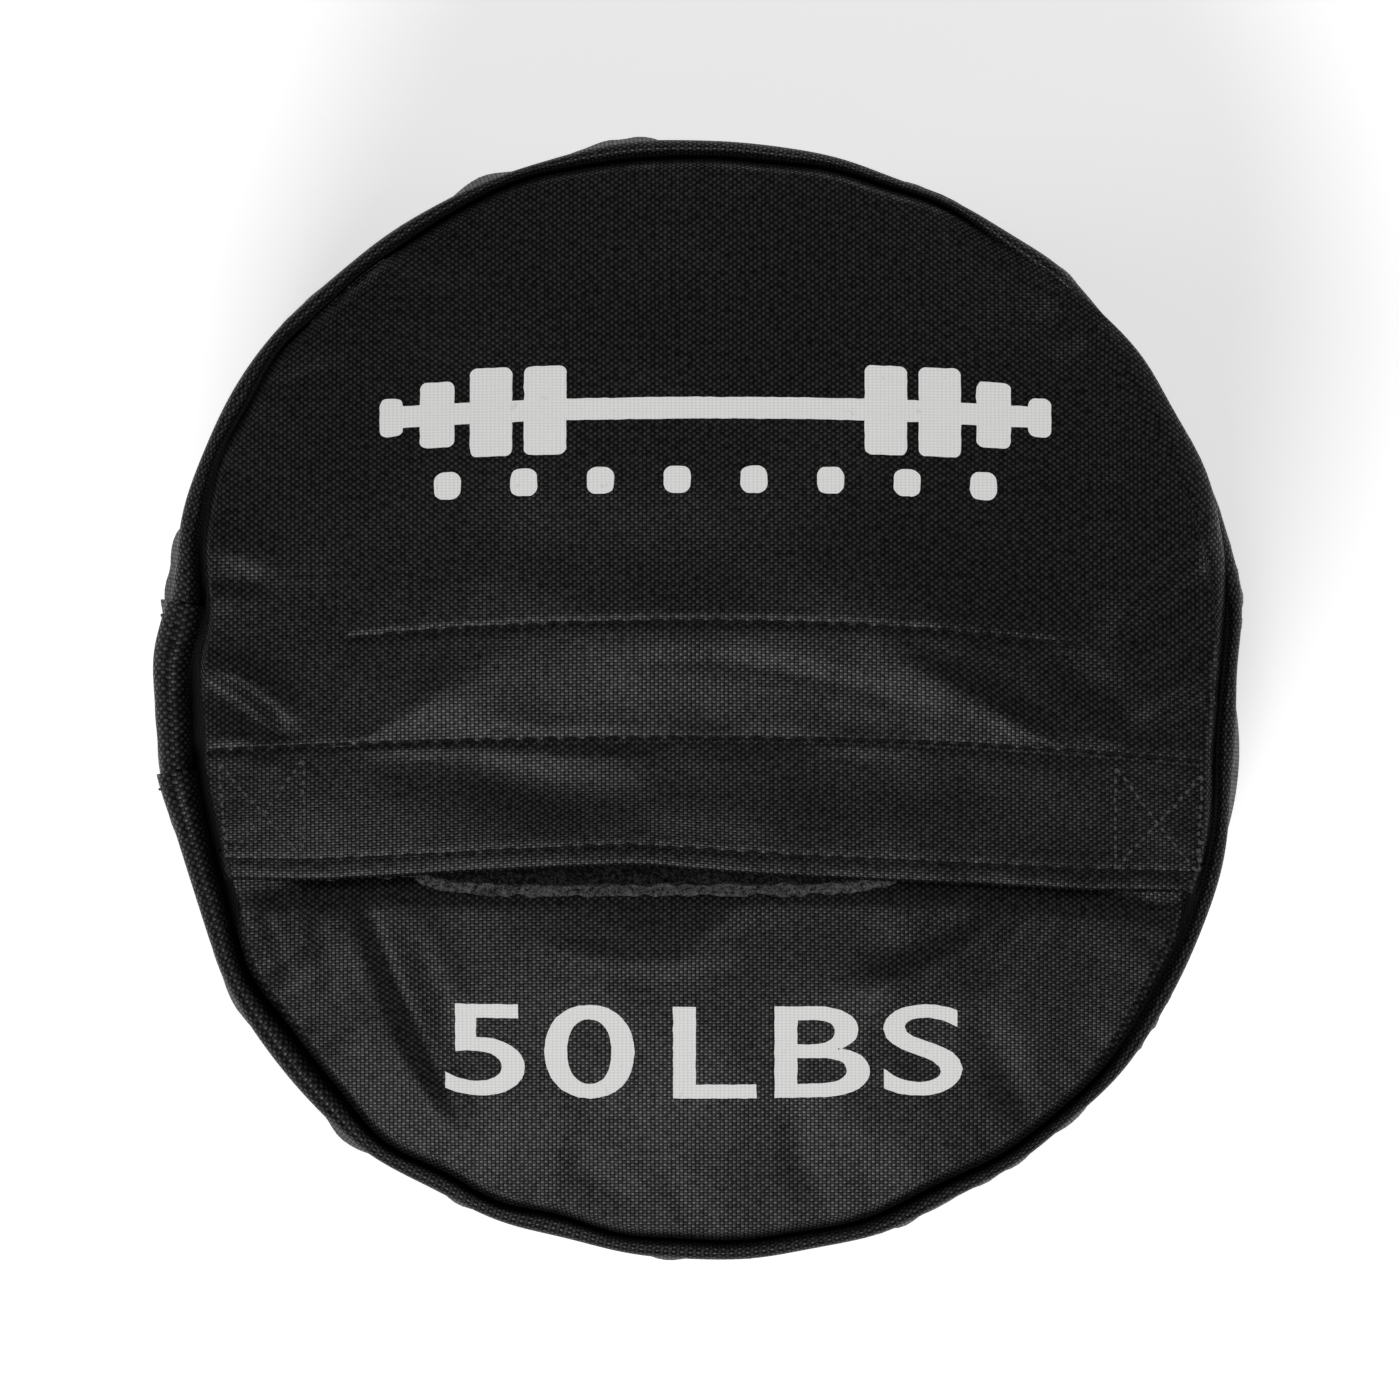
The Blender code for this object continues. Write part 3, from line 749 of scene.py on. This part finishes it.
def nylon_cloth():
    """Coarse plain weave: where threads come up the colour is lighter, a painted highlight, and the gaps between get
    a black matt colour, painted shade.
    """
    shader = Shader("black nylon cloth")
    place = shader.cut_map()
    warp_top, weft_top = weave_height(shader, place)
    slub = shader.noise(place, 620.0, 3.0, 0.6)
    mottle = shader.noise(place, 30.0, 4.0)
    uneven = (slub - 0.32) * 2.6
    # Thread tops are painted lighter, warp tops most: painted highlight, varied by the slubs.
    slubbed_painted_highlight = warp_top * (0.35 + uneven) * 1.25 + weft_top * (0.12 + uneven * 0.35)
    colour = shader.mix(slubbed_painted_highlight, grey(0.0003), (0.017, 0.017, 0.0174))
    normal = shader.bump(warp_top + weft_top * 0.6 + slub * 0.3, 0.085 * MM, 0.9)
    shader.finish(
        Base_Color=colour, Roughness=0.36 + mottle * 0.10, Normal=normal, Specular_IOR_Level=0.48,
        Sheen_Weight=0.03, Sheen_Roughness=0.35,
    )
    # The gaps between threads get a near-black matt colour: painted shade.
    return shader.painted_gap_shade(slubbed_painted_highlight + 0.10, grey(0.0006))


def white_ink():
    shader = Shader("white print on cloth")
    place = shader.cut_map()
    warp_top, weft_top = weave_height(shader, place)
    height = warp_top + weft_top
    patch = shader.noise(place, 260.0, 3.0)
    # Lighter on thread tops and darker down in the weave: painted shade in the hollows between threads.
    colour = shader.mix(height * 0.7 + 0.35, grey(0.62), (0.90, 0.90, 0.89))
    colour = shader.mix((patch > 0.68) * 0.25, colour, grey(0.5))
    return shader.finish(Base_Color=colour, Roughness=0.6, Normal=shader.bump(height, 0.10 * MM, 0.6))


def sewing_thread(name, low, high):
    shader = Shader(name)
    x, y, z = shader.split(shader.object_place())
    twist = ((x + y * 0.7 + z) * (2 * pi / (0.5 * MM))).sine()
    # Lighter and darker stripes along the twist: painted highlight and shade on the plies.
    colour = shader.mix(twist * 0.5 + 0.5, grey(low), grey(high, 1.03))
    normal = shader.bump(twist, 0.05 * MM, 0.7)
    return shader.finish(Base_Color=colour, Roughness=0.5, Normal=normal, Specular_IOR_Level=0.16)


def loop_pile():
    """Matted loops, with a plain woven edge along the front of the tape."""
    shader = Shader("black loop pile")
    place = shader.object_place()
    coarse = shader.noise(place, 800.0, 4.0, 0.75)
    fine = shader.noise(place, 1900.0, 3.0, 0.7)
    _, cut_y, _ = shader.split(shader.cut_map())
    pile = (cut_y + coarse * 0.003) > float(LOOP_TAPE_LOW.y + SELVEDGE + 1.5 * MM)
    loops = (coarse - 0.47) * 6.0 + (fine - 0.47) * 5.0
    fuzz = shader.mix(loops, grey(0.0003), (0.026, 0.026, 0.0265))
    woven = shader.mix(loops * 0.55 + 0.28, grey(0.002), grey(0.13))
    return shader.finish(
        Base_Color=shader.mix(pile, woven, fuzz),
        Roughness=0.95 - (1.0 - pile) * 0.35,
        Normal=shader.bump(coarse + fine * 0.5, 0.6 * MM, 1.0),
        Specular_IOR_Level=0.12,
    )


def woven_tape():
    shader = Shader("black woven tape")
    x, y, z = shader.split(shader.object_place())
    rib = ((x + y) * (2 * pi / (0.9 * MM))).sine() * ((z + y) * (2 * pi / (0.8 * MM))).sine()
    colour = shader.mix(rib * 0.5 + 0.5, grey(0.005), (0.02, 0.02, 0.021))
    normal = shader.bump(rib, 0.15 * MM, 0.8)
    return shader.finish(Base_Color=colour, Roughness=0.8, Normal=normal, Specular_IOR_Level=0.25)


def liner_film():
    shader = Shader("black liner film")
    crumple = shader.noise(shader.object_place(), 60.0, 5.0, 0.6)
    return shader.finish(
        Base_Color=(0.02, 0.02, 0.022), Roughness=0.3 + crumple * 0.25, Normal=shader.bump(crumple, 2.0 * MM, 0.6)
    )


def dry_sand():
    shader = Shader("dry sand")
    place = shader.object_place()
    grain = shader.noise(place, 2200.0, 2.0)
    drift = shader.noise(place, 40.0, 3.0)
    colour = shader.mix(grain, (0.30, 0.22, 0.13), (0.62, 0.50, 0.35))
    colour = shader.mix(drift * 0.4, colour, (0.40, 0.30, 0.19))
    return shader.finish(Base_Color=colour, Roughness=0.95, Normal=shader.bump(grain, 0.5 * MM, 0.8))


# The material of each slot, and two more for the prints and for the crossed boxes
MATERIALS = {"nylon_cloth": nylon_cloth()}
INK = white_ink()
MATERIALS["thread"] = sewing_thread("black bonded thread", 0.001, 0.007)
# The crossed boxes' thread is much lighter than the rest: painted highlight, so its stitches show as light dots.
BOX_THREAD = sewing_thread("black thread with painted highlight", 0.03, 0.12)
MATERIALS["loop_tape"] = loop_pile()
MATERIALS["hook_tape"] = MATERIALS["binding_tape"] = woven_tape()
MATERIALS["liner_film"] = liner_film()
MATERIALS["sand"] = dry_sand()


# ---- lid ----


def close_spaced(place, closest, nearness=0.018, gain=2.0):
    """Moves evenly spaced rows, from -1 to 1, so that they lie closer together at the given places."""
    even = np.linspace(-1, 1, 2001)
    density = np.ones_like(even) + sum(gain * np.exp(-(((even - spot) / nearness) ** 2)) for spot in closest)
    reach = np.cumsum(density) - density[0]
    return np.interp((place + 1) / 2 * reach[-1], reach, even)


def disc_cut(name, cells, closest=()):
    """A round flat cut as large as the lid, with its points closer together towards its edge."""
    piece = flat_cut(name, cells, cells)
    grid = points(piece)
    across, along = grid[:, 0], close_spaced(grid[:, 1], closest)
    x = across * np.sqrt(1 - along**2 / 2)
    y = along * np.sqrt(1 - across**2 / 2)
    reach, turn = np.clip(np.hypot(x, y), 0, 1), np.arctan2(y, x)
    share = np.interp(reach, (0, 0.89, 0.965, 1), (0, FLAT_SHARE, SHOULDER_SHARE, 1))
    radius = share * groove_radius(turn)
    places = turned(radius, turn, 0 * radius)
    set_points(piece, places)
    set_weave_map(piece, lid_cut(places))
    return piece


def lid_upper_cloth():
    piece = disc_cut("lid_upper_cloth", 284, closest=(-0.066, 0.150))
    cut_along(piece, (0, HINGE.y, 0), (0, 1, 0))
    set_points(piece, on_lid(points(piece)))
    thicken(piece)
    finish_piece(piece, "nylon_cloth", "lid_upper_panel")


def lid_lower_cloth():
    piece = disc_cut("lid_lower_cloth", 262)
    cut_along(piece, (0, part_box("lid_lower_panel")[1].y, 0), (0, -1, 0))
    set_points(piece, on_lower(points(piece)))
    thicken(piece)
    finish_piece(piece, "nylon_cloth", "lid_lower_panel")


def rim_x(y, side):
    """Where a line across the lid meets its raw edge."""
    x = np.full(np.shape(y), 135 * MM)
    for _ in range(6):
        x = np.sqrt(groove_radius(np.arctan2(y, side * x)) ** 2 - y**2)
    return x


def flap_band(name, side, *nodes):
    """Half of the flap, from its sewn end to the middle, with its front edge folded under."""
    face = np.linspace(HINGE.y, HEM_Y, 64)
    bend = HEM_Y - FOLD_RADIUS * np.linspace(0, pi, 8)[1:]
    under = bend[-1] - np.linspace(0, 7 * MM, 8)[1:]
    rows = np.concatenate([face, bend, under])
    piece = flat_cut(name, 190, rows.size - 1)
    grid = points(piece)
    y = rows[grid_rows(grid, rows.size)]
    share = (1 + grid[:, 0] * side) / 2
    past = np.clip(HEM_Y - y, 0, None)
    bent = np.clip(past / FOLD_RADIUS, 0, pi)
    tail = np.clip(past - pi * FOLD_RADIUS, 0, None)
    face_y = np.where(past > 0, HEM_Y - FOLD_RADIUS * np.sin(bent) + tail, y)
    x = side * share * rim_x(face_y, side)
    drop = -FOLD_RADIUS * (1 - np.cos(bent))
    set_weave_map(piece, lid_cut(np.stack([x, y], axis=1)))
    set_points(piece, on_band(np.stack([x, face_y], axis=1), drop))
    thicken(piece)
    finish_piece(piece, "nylon_cloth", *nodes, body=None)
    across_mouth(piece)


# ---- wall and base ----


def wall_cut_lengths(rows):
    """Distance along the wall's cut from its top raw edge to each row."""
    turns = np.linspace(0, 2 * pi, 24, endpoint=False)
    total = np.zeros(rows.size)
    for turn in turns:
        radius, z = wall_place(np.full(rows.size, turn), rows)
        total[1:] += np.cumsum(np.hypot(np.diff(radius), np.diff(z)))
    return total / turns.size


def wall_sheet(name, start, end, columns, rows, height):
    """A stretch of wall cloth between two angles in degrees, at a height above the wall that may vary."""
    piece = flat_cut(name, columns, rows.size - 1)
    grid = points(piece)
    row = grid_rows(grid, rows.size)
    turn = np.radians(start + (end - start) * (1 + grid[:, 0]) / 2)
    lengths = wall_cut_lengths(rows)
    set_weave_map(piece, np.stack([turn * BASE_RADIUS, -lengths[row]], axis=1))
    set_points(piece, on_wall(np.stack([turn, rows[row]], axis=1), height(turn)))
    return piece


def wall_cloth():
    piece = wall_sheet("wall_cloth", STRIP_UNDER - 360, STRIP_OVER + 4, 400, WALL_ROWS, lap_height)
    thicken(piece)
    finish_piece(piece, "nylon_cloth", "side_wall")


def strip_height(turn):
    """The strip lies on the wall at one edge and under it at the other."""
    degrees = np.degrees(turn) % 360
    return (1.1 - 1.0 * smooth(degrees, STRIP_OVER + 4, STRIP_OVER + 11)) * MM


def seam_strip_cloth():
    piece = wall_sheet("seam_strip_cloth", STRIP_OVER, STRIP_UNDER + 3, 40, WALL_ROWS, strip_height)
    thicken(piece)
    finish_piece(piece, "nylon_cloth", "side_seam_strip")


base_unevenness = field_waves(51, 30 * MM, 90 * MM)
BASE_FLAT_SHARE = 0.87  # share of the base's radius that rests on the floor


def base_cloth():
    piece = disc_cut("base_cloth", 120)
    places = points(piece)
    x, y = places[:, 0], places[:, 1]
    turn = np.arctan2(y, x)
    share = np.hypot(x, y) / groove_radius(turn)
    seam = wall_radius(turn, BASE_LIP_Z) - 8.1 * MM
    arc = share_of(share, FLAT_SHARE, SHOULDER_SHARE) * pi / 2
    flat_part = np.clip(share / FLAT_SHARE, 0, 1) * BASE_FLAT_SHARE
    radius = seam * (flat_part + (1 - BASE_FLAT_SHARE) * np.sin(arc))
    ripples = (0.5 + 0.5 * base_unevenness(x, y)) * 0.5 * MM
    z = 0.1 * MM + ripples * smooth(share, 0.7, 0.87) + (BASE_SEAM_Z - 0.1 * MM) * (1 - np.cos(arc))
    z = z + SEAM_DEPTH * np.clip((share - SHOULDER_SHARE) / (1 - SHOULDER_SHARE), 0, None)
    set_points(piece, turned(radius, turn, z))
    with editing(piece):
        bpy.ops.mesh.flip_normals()
    thicken(piece)
    finish_piece(piece, "nylon_cloth", "bottom_panel")


# ---- stitches ----


def one_stitch():
    """A stitch lying along X: a thread that rises from one hole and dives into the next."""
    deselect()
    bpy.ops.mesh.primitive_uv_sphere_add(segments=8, ring_count=7, radius=1.0)
    piece = bpy.context.object
    half = STITCH * 0.44
    with editing(piece):
        bpy.ops.transform.rotate(value=pi / 2, orient_axis="Y", center_override=(0, 0, 0))
        bpy.ops.transform.resize(value=(half, THREAD_RADIUS, THREAD_RADIUS))
    places = points(piece)
    places[:, 2] += 0.20 * MM - 0.42 * MM * (places[:, 0] / half) ** 2
    set_points(piece, places)
    return piece


PATTERN_STITCH = one_stitch()


def laid_stitches(name, x, y, height, lay):
    """One stitch for each line of x and y, all laid on the bag together and joined into one piece."""
    height = np.broadcast_to(height, x.shape)
    places = lay(np.stack([x.ravel(), y.ravel()], axis=1), height.ravel()).reshape(*x.shape, 3)
    copies = []
    for stitch in places:
        copy = PATTERN_STITCH.copy()
        copy.data = PATTERN_STITCH.data.copy()
        bpy.context.scene.collection.objects.link(copy)
        set_points(copy, stitch)
        copies.append(copy)
    row = joined(copies, name)
    bpy.ops.object.shade_smooth()
    return row


def stitched_row(name, route, lay, pieces=(), pitch=STITCH, raised=0.0, stretch=(1.0, 1.0)):
    """Stitches end to end along a route on the flat cut. The route is a list of corners.

    stretch is how much longer and wider each stitch is than the usual one for its pitch."""
    shape = points(PATTERN_STITCH)
    shape[:, 0] *= pitch / STITCH * stretch[0]
    shape[:, 1] *= stretch[1]
    shape[:, 2] += raised
    xs, ys = [], []
    for (x0, y0), (x1, y1) in [*zip(route, route[1:]), *pieces]:
        length = np.hypot(x1 - x0, y1 - y0)
        count = max(1, round(length / pitch))
        way_x, way_y = (x1 - x0) / length, (y1 - y0) / length
        along = (np.arange(count)[:, None] + 0.5) * length / count + shape[:, 0]
        across = shape[:, 1] + rng.normal(0, STITCH_WANDER, (count, 1))
        xs.append(x0 + along * way_x - across * way_y)
        ys.append(y0 + along * way_y + across * way_x)
    x, y = np.concatenate(xs), np.concatenate(ys)
    return laid_stitches(name, x, y, shape[:, 2], lay)


def row_route(row, start, end, pieces=24):
    return [(x, row_y(row, x)) for x in np.linspace(start, end, pieces + 1)]


def on_strip(flat, height=0.0):
    return on_wall(flat, height + strip_height(flat[:, 0]))


def on_lap(flat, height=0.0):
    return on_wall(flat, height + lap_height(flat[:, 0]))


def upright_row(name, degrees, lay):
    """A row of stitches down the wall at one angle, from roll to roll."""
    turn = np.radians(degrees)
    shape = points(PATTERN_STITCH)
    shares = np.linspace(INNER, 1 - INNER, 400)
    radius, z = wall_place(np.full(400, turn), shares)
    run = np.concatenate([[0], np.cumsum(np.hypot(np.diff(radius), np.diff(z)))])
    count = int(run[-1] / STITCH)
    along = (np.arange(count)[:, None] + 0.5) * run[-1] / count + shape[:, 0]
    across = turn + (shape[:, 1] + rng.normal(0, STITCH_WANDER, (count, 1))) / BASE_RADIUS
    share = np.interp(along, run, shares)
    return laid_stitches(name, across, share, shape[:, 2], lay)


BOX_ENDS = ((-1, "left", 102.5 * MM, 124.5 * MM), (1, "right", 107.5 * MM, ROW_END))


def stitching():
    hinge = stitched_row("hinge_row", row_route(HINGE_ROW, -127 * MM, ROW_END), on_lid)
    finish_piece(hinge, "thread", "hinge_stitching")
    chute = stitched_row("chute_row", row_route(CHUTE_ROW, -83 * MM, 98 * MM, 17), on_lid)
    finish_piece(chute, "thread", "chute_stitching")
    for side, word, near, far in BOX_ENDS:
        route = [(side * x, HEM_ROW_Y) for x in np.linspace(0, far, 13)]
        hem = stitched_row("hem_row_" + word, route, on_band)
        finish_piece(hem, "thread", *(["hem_stitching"] if side < 0 else []), body=None)
        across_mouth(hem)
        near_end, far_end = (
            [(side * min(reach, rim_x(y, side) - 3 * MM), y) for y in (HINGE.y - 2.5 * MM, HEM_ROW_Y)]
            for reach in (near, far)
        )
        lines = [near_end, far_end, (near_end[0], far_end[1]), (near_end[1], far_end[0])]
        box = stitched_row("crossed_box_" + word, [], on_band, lines, 2.6 * MM, 0.16 * MM, (0.66, 1.25))
        finish_piece(box, "thread", "box_stitching_" + word, material=BOX_THREAD)
    for name, degrees, lay in (("strip_row_back", STRIP_OVER, on_strip), ("strip_row_front", STRIP_UNDER, on_lap)):
        row = upright_row(name, degrees + 1.6, lay)
        finish_piece(row, "thread")


# ---- print ----


def diced(piece, step):
    """Cuts a flat print into small faces, so that it can follow the cloth."""
    places = points(piece)
    low, high = places.min(0), places.max(0)
    with editing(piece):
        for axis, normal in enumerate(((1, 0, 0), (0, 1, 0))):
            for line in np.arange(low[axis] + step / 2, high[axis], step):
                bpy.ops.mesh.select_all(action="SELECT")
                bpy.ops.mesh.bisect(plane_co=[line * way for way in normal], plane_no=normal)


PRINT_CELL = 1.6 * MM  # size of the small faces of a print
print_raggedness = field_waves(81, 1.6 * MM, 4 * MM, 16), field_waves(82, 1.6 * MM, 4 * MM, 16)


def lay_print(piece, lay, arch):
    """Lays a flat print on the cloth, with slightly ragged edges. arch lowers its ends, in metres."""
    places = points(piece)
    ragged = [wave(places[:, 0], places[:, 1]) * 0.05 * MM for wave in print_raggedness]
    places[:, 0] += ragged[0]
    places[:, 1] += ragged[1]
    middle = (places[:, 0].min() + places[:, 0].max()) / 2
    half = places[:, 0].max() - middle
    places[:, 1] -= arch * ((places[:, 0] - middle) / half) ** 2
    set_weave_map(piece, places)
    set_points(piece, lay(places[:, :2], 0.12 * MM))
    bpy.ops.object.shade_smooth()
    finish_piece(piece, "nylon_cloth", material=INK)


def weight_marking():
    deselect()
    bpy.ops.object.text_add(location=(0, 0, 0))
    text = bpy.context.object
    text.data.body = "50 LBS"
    text.data.offset = 0.009
    text.data.space_character = 1.05
    text.data.space_word = 0.22
    text.data.resolution_u = 8
    bpy.ops.object.convert(target="MESH")
    piece = named("weight_marking")
    places = points(piece)
    low, high = places.min(0), places.max(0)
    share = (places[:, :2] - low[:2]) / (high[:2] - low[:2])
    places[:, 0] = (-66 + share[:, 0] * 134) * MM
    places[:, 1] = (-103.5 + share[:, 1] * 24.5) * MM
    set_points(piece, places)
    diced(piece, PRINT_CELL)
    lay_print(piece, on_lower, -1.5 * MM)


def bar_mark(centre, width, height, corner):
    """One rounded bar of the mark, flat on its cut."""
    deselect()
    bpy.ops.mesh.primitive_plane_add(size=1)
    bar = bpy.context.object
    with editing(bar):
        bpy.ops.transform.resize(value=(width, height, 1))
        bpy.ops.transform.translate(value=(*centre, 0))
        if corner:
            bpy.ops.mesh.bevel(offset=corner, segments=5, affect="VERTICES")
    return bar


def lid_mark():
    """A plain barbell over a row of dots."""
    middle_x, middle_y = 4 * MM, 75.5 * MM
    plates = ((44, 11, 23), (58, 11, 23), (72, 9, 17), (84, 6, 10))  # place, width and height (mm)
    bars = []
    for side in (-1, 1):
        near = 0.0
        for away, width, height in plates:
            far = away - width / 2
            spot = (middle_x + side * (near + far) / 2 * MM, middle_y)
            bars.append(bar_mark(spot, (far - near) * MM, 5.6 * MM, 0))
            spot = (middle_x + side * away * MM, middle_y)
            bars.append(bar_mark(spot, width * MM, height * MM, 1.8 * MM))
            near = away + width / 2
    for step in range(8):
        spot = (middle_x + (step - 3.5) * 19.8 * MM, middle_y - 18.5 * MM)
        bars.append(bar_mark(spot, 7 * MM, 7 * MM, 2.4 * MM))
    piece = joined(bars, "lid_mark")
    diced(piece, PRINT_CELL)
    lay_print(piece, on_lid, 2.6 * MM)


# ---- tapes, chute and bindings ----


def strip_of(name, x_range, y_range, cell):
    """A flat strip over two ranges, in metres."""
    columns = max(2, round((x_range[1] - x_range[0]) / cell))
    rows = max(2, round((y_range[1] - y_range[0]) / cell))
    piece = flat_cut(name, columns, rows)
    places = points(piece)
    places[:, 0] = x_range[0] + (x_range[1] - x_range[0]) * (1 + places[:, 0]) / 2
    places[:, 1] = y_range[0] + (y_range[1] - y_range[0]) * (1 + places[:, 1]) / 2
    set_points(piece, places)
    return piece


def loop_tape():
    """Fuzzy tape sewn on the lower panel. Its woven edge shows where the mouth gapes."""
    length = LOOP_TAPE_HIGH.x
    front_y = LOOP_TAPE_LOW.y
    piece = strip_of("loop_tape_pile", (-length, length), (front_y, LOOP_TAPE_HIGH.y), 0.55 * MM)
    places = points(piece)
    set_weave_map(piece, places)
    x, y = places[:, 0], places[:, 1]
    gape = np.clip(1 - ((x + 11 * MM) / (63 * MM)) ** 4, 0, 1) ** 0.5
    front = smooth(y, LOOP_TAPE_HIGH.y, front_y)
    lumps = field_waves(61, 1.6 * MM, 5 * MM, 20)(x, y) * 0.18 * MM
    pile = smooth(y, front_y + 0.8 * SELVEDGE, front_y + 1.3 * SELVEDGE)
    edge = np.clip((y - front_y) / (1.2 * MM), 0, 1)
    fluff = (rng.normal(0, 0.26 * MM, len(places)) + lumps) * (0.55 + 0.45 * pile)
    y = y + ((1 - gape) * 5.2 - gape * 0.9 + field_waves(62, 2 * MM, 7 * MM, 20)(x, y) * 0.22) * MM * front
    set_points(piece, on_lower(np.stack([x, y], axis=1), (0.3 + 0.5 * edge + 0.8 * pile) * MM + fluff))
    thicken(piece, 0.9 * MM)
    finish_piece(piece, "loop_tape", "loop_tape")


def hook_tape():
    """Tape sewn under the flap, in two halves that meet at the middle as the flap's do."""
    for side, word, node in ((-1, "left", ("hook_tape",)), (1, "right", ())):
        ends = sorted((0.0, side * HOOK_TAPE_HIGH.x))
        piece = strip_of("hook_tape_" + word, ends, (HOOK_TAPE_LOW.y + 1 * MM, HOOK_TAPE_HIGH.y), 1.0 * MM)
        places = points(piece)
        set_weave_map(piece, places)
        set_points(piece, on_band(places[:, :2], -1.0 * MM))
        thicken(piece, 0.8 * MM)
        finish_piece(piece, "hook_tape", *node, body=None)
        across_mouth(piece)


def chute_plies():
    """The filling chute lies folded flat under the mouth."""
    wave = field_waves(71, 25 * MM, 60 * MM)
    for name in ("chute_front_ply", "chute_back_ply"):
        low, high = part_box(name)
        piece = strip_of(name + "_cloth", (low.x, high.x), (low.y, high.y), 2.5 * MM)
        places = points(piece)
        set_weave_map(piece, places)
        places[:, 2] = low.z - 0.5 * MM + 0.25 * MM * wave(places[:, 0], places[:, 1])
        if name == "chute_back_ply":
            rise = smooth(places[:, 1], high.y - 6 * MM, high.y)
            places[:, 2] += (LID_TOP - 2 * MM - low.z) * rise
        set_points(piece, places)
        thicken(piece, 0.4 * MM)
        finish_piece(piece, "nylon_cloth", name)


def binding(name, node, level, side, radius_of):
    """Tape folded round the raw edges of a seam, side -1 for one that hangs under the lid."""
    outline = ((-3.2, -5), (-3.4, 0.6), (-2.6, 1.1), (2.6, 1.1), (3.4, 0.6), (3.2, -5))
    piece = flat_cut(name, 240, len(outline) - 1)
    grid = points(piece)
    turn = grid[:, 0] * pi
    shape = np.array(outline)[grid_rows(grid, len(outline))] * MM
    radius = radius_of(turn) + shape[:, 0]
    z = level + side * shape[:, 1]
    set_points(piece, turned(radius, turn, z))
    merge_and_face_out(piece)
    thicken(piece, 0.5 * MM)
    finish_piece(piece, "binding_tape", node)


def seam_bindings():
    past = SEAM_DEPTH + 1.2 * MM
    binding("top_binding_tape", "top_seam_binding", SEAM_Z - past, -1, lambda turn: groove_radius(turn) - 0.4 * MM)
    binding("bottom_binding_tape", "bottom_seam_binding", BASE_SEAM_Z + past, 1,
            lambda turn: wall_radius(turn, BASE_LIP_Z) - 7.3 * MM)


# ---- liner and sand ----


def filled_body(name, inset, top, neck):
    """A turned, lumpy body inside the wall: inset from the wall's outer face, with an optional neck."""
    shape = [(0.0, 0.0), (0.5, 0.0), (0.86, 0.0), (0.9, 0.01), (0.93, 0.05), (0.94, 0.09), (0.975, 0.14), (1, 0.2)]
    shape += [(1, 0.35), (1, 0.5), (1, 0.65), (1, 0.8), (0.975, 0.86), (0.935, 0.91), (0.93, 0.95), (0.9, 0.985)]
    shape += [(0.8, 1.0), (0.5, 1.0)]
    shape += neck or [(0.0, 1.0)]
    piece = flat_cut(name, 180, len(shape) - 1)
    grid = points(piece)
    row = np.rint((1 + grid[:, 1]) / 2 * (len(shape) - 1)).astype(int)
    turn = grid[:, 0] * pi
    share, level = np.array(shape)[row].T
    z = 1.5 * MM + inset + (top - 1.5 * MM - 2 * inset) * np.clip(level, 0, 1) + np.clip(level - 1, 0, 9) * top
    radius = share * (wall_radius(turn, np.clip(z, 25 * MM, 200 * MM)) - 5.5 * MM - inset)
    radius = np.where(level > 1, share * BASE_RADIUS, radius)
    radius = np.minimum(radius, np.where(z > 205 * MM, groove_radius(turn) - 8 * MM - inset, 1))
    set_points(piece, turned(radius, turn, z))
    merge_and_face_out(piece)
    return piece


def liner_and_sand():
    neck = [(0.12, 1.0), (0.10, 1.015), (0.055, 1.03), (0.055, 1.04), (0.09, 1.05)]
    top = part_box("sand_fill")[1].z
    film = filled_body("liner_bag", 0.0, top + 1 * MM, neck)
    thicken(film, 0.3 * MM)
    finish_piece(film, "liner_film", "liner")
    sand = filled_body("packed_sand", 1.0 * MM, top, None)
    finish_piece(sand, "sand", "sand_fill")
    activate(sand)
    bpy.ops.object.shade_smooth_by_angle(angle=SMOOTH_ANGLE)
    deselect()
    bpy.ops.mesh.primitive_torus_add(
        major_radius=0.055 * BASE_RADIUS + 0.8 * MM,
        minor_radius=1.0 * MM,
        major_segments=48,
        minor_segments=10,
        location=(0, 0, top * 1.035),
    )
    tie = named("liner_neck_tie")
    bpy.ops.object.transform_apply(location=True, rotation=True, scale=True)
    bpy.ops.object.shade_smooth()
    finish_piece(tie, "liner_film", "liner_tie")


# ---- stage ----


CAMERA_DISTANCE = 2.2


def stage():
    deselect()
    bpy.ops.mesh.primitive_plane_add(size=12, location=(0, 0, 0))
    floor = bpy.context.object
    floor.name = "floor"
    paint = Shader("pale floor")
    floor.data.materials.append(
        paint.finish(Base_Color=grey(0.92), Roughness=0.9, Emission_Color=grey(1.0), Emission_Strength=0.5)
    )
    world = bpy.data.worlds.new("studio")
    world.use_nodes = True
    background = world.node_tree.nodes["Background"].inputs
    background["Color"].default_value = (1, 1, 1, 1)
    background["Strength"].default_value = 0.085
    bpy.context.scene.world = world
    for name, place, size, power in (
        ("front softbox", (-0.3, -1.05, 2.2), 0.7, 27),
        ("back softbox", (0.6, 1.9, 1.0), 1.0, 13),
        ("left softbox", (-1.7, 0.2, 0.9), 0.8, 5.5),
        ("right softbox", (1.7, 0.1, 0.9), 0.8, 5),
    ):
        bpy.ops.object.light_add(type="AREA", location=place)
        lamp = bpy.context.object
        lamp.name = name
        lamp.data.shape = "DISK"
        lamp.data.size = size
        lamp.data.energy = power
        lamp.rotation_euler = (Vector((0, 0, LID_TOP)) - Vector(place)).to_track_quat("-Z", "Y").to_euler()
    bpy.ops.object.camera_add(location=(0, 0, LID_TOP + CAMERA_DISTANCE))
    camera = bpy.context.object
    camera.data.lens = 219
    camera.data.sensor_width = 36
    camera.data.clip_end = 50
    bpy.context.scene.camera = camera
    bpy.context.scene.view_settings.view_transform = "Standard"


def main():
    stage()
    lid_upper_cloth()
    flap_band("flap_band_left", -1, "closure_flap", "flap_end_left")
    flap_band("flap_band_right", 1, "flap_end_right")
    lid_lower_cloth()
    wall_cloth()
    seam_strip_cloth()
    base_cloth()
    stitching()
    lid_mark()
    weight_marking()
    loop_tape()
    hook_tape()
    chute_plies()
    seam_bindings()
    liner_and_sand()
    bpy.data.objects.remove(PATTERN_STITCH)


main()
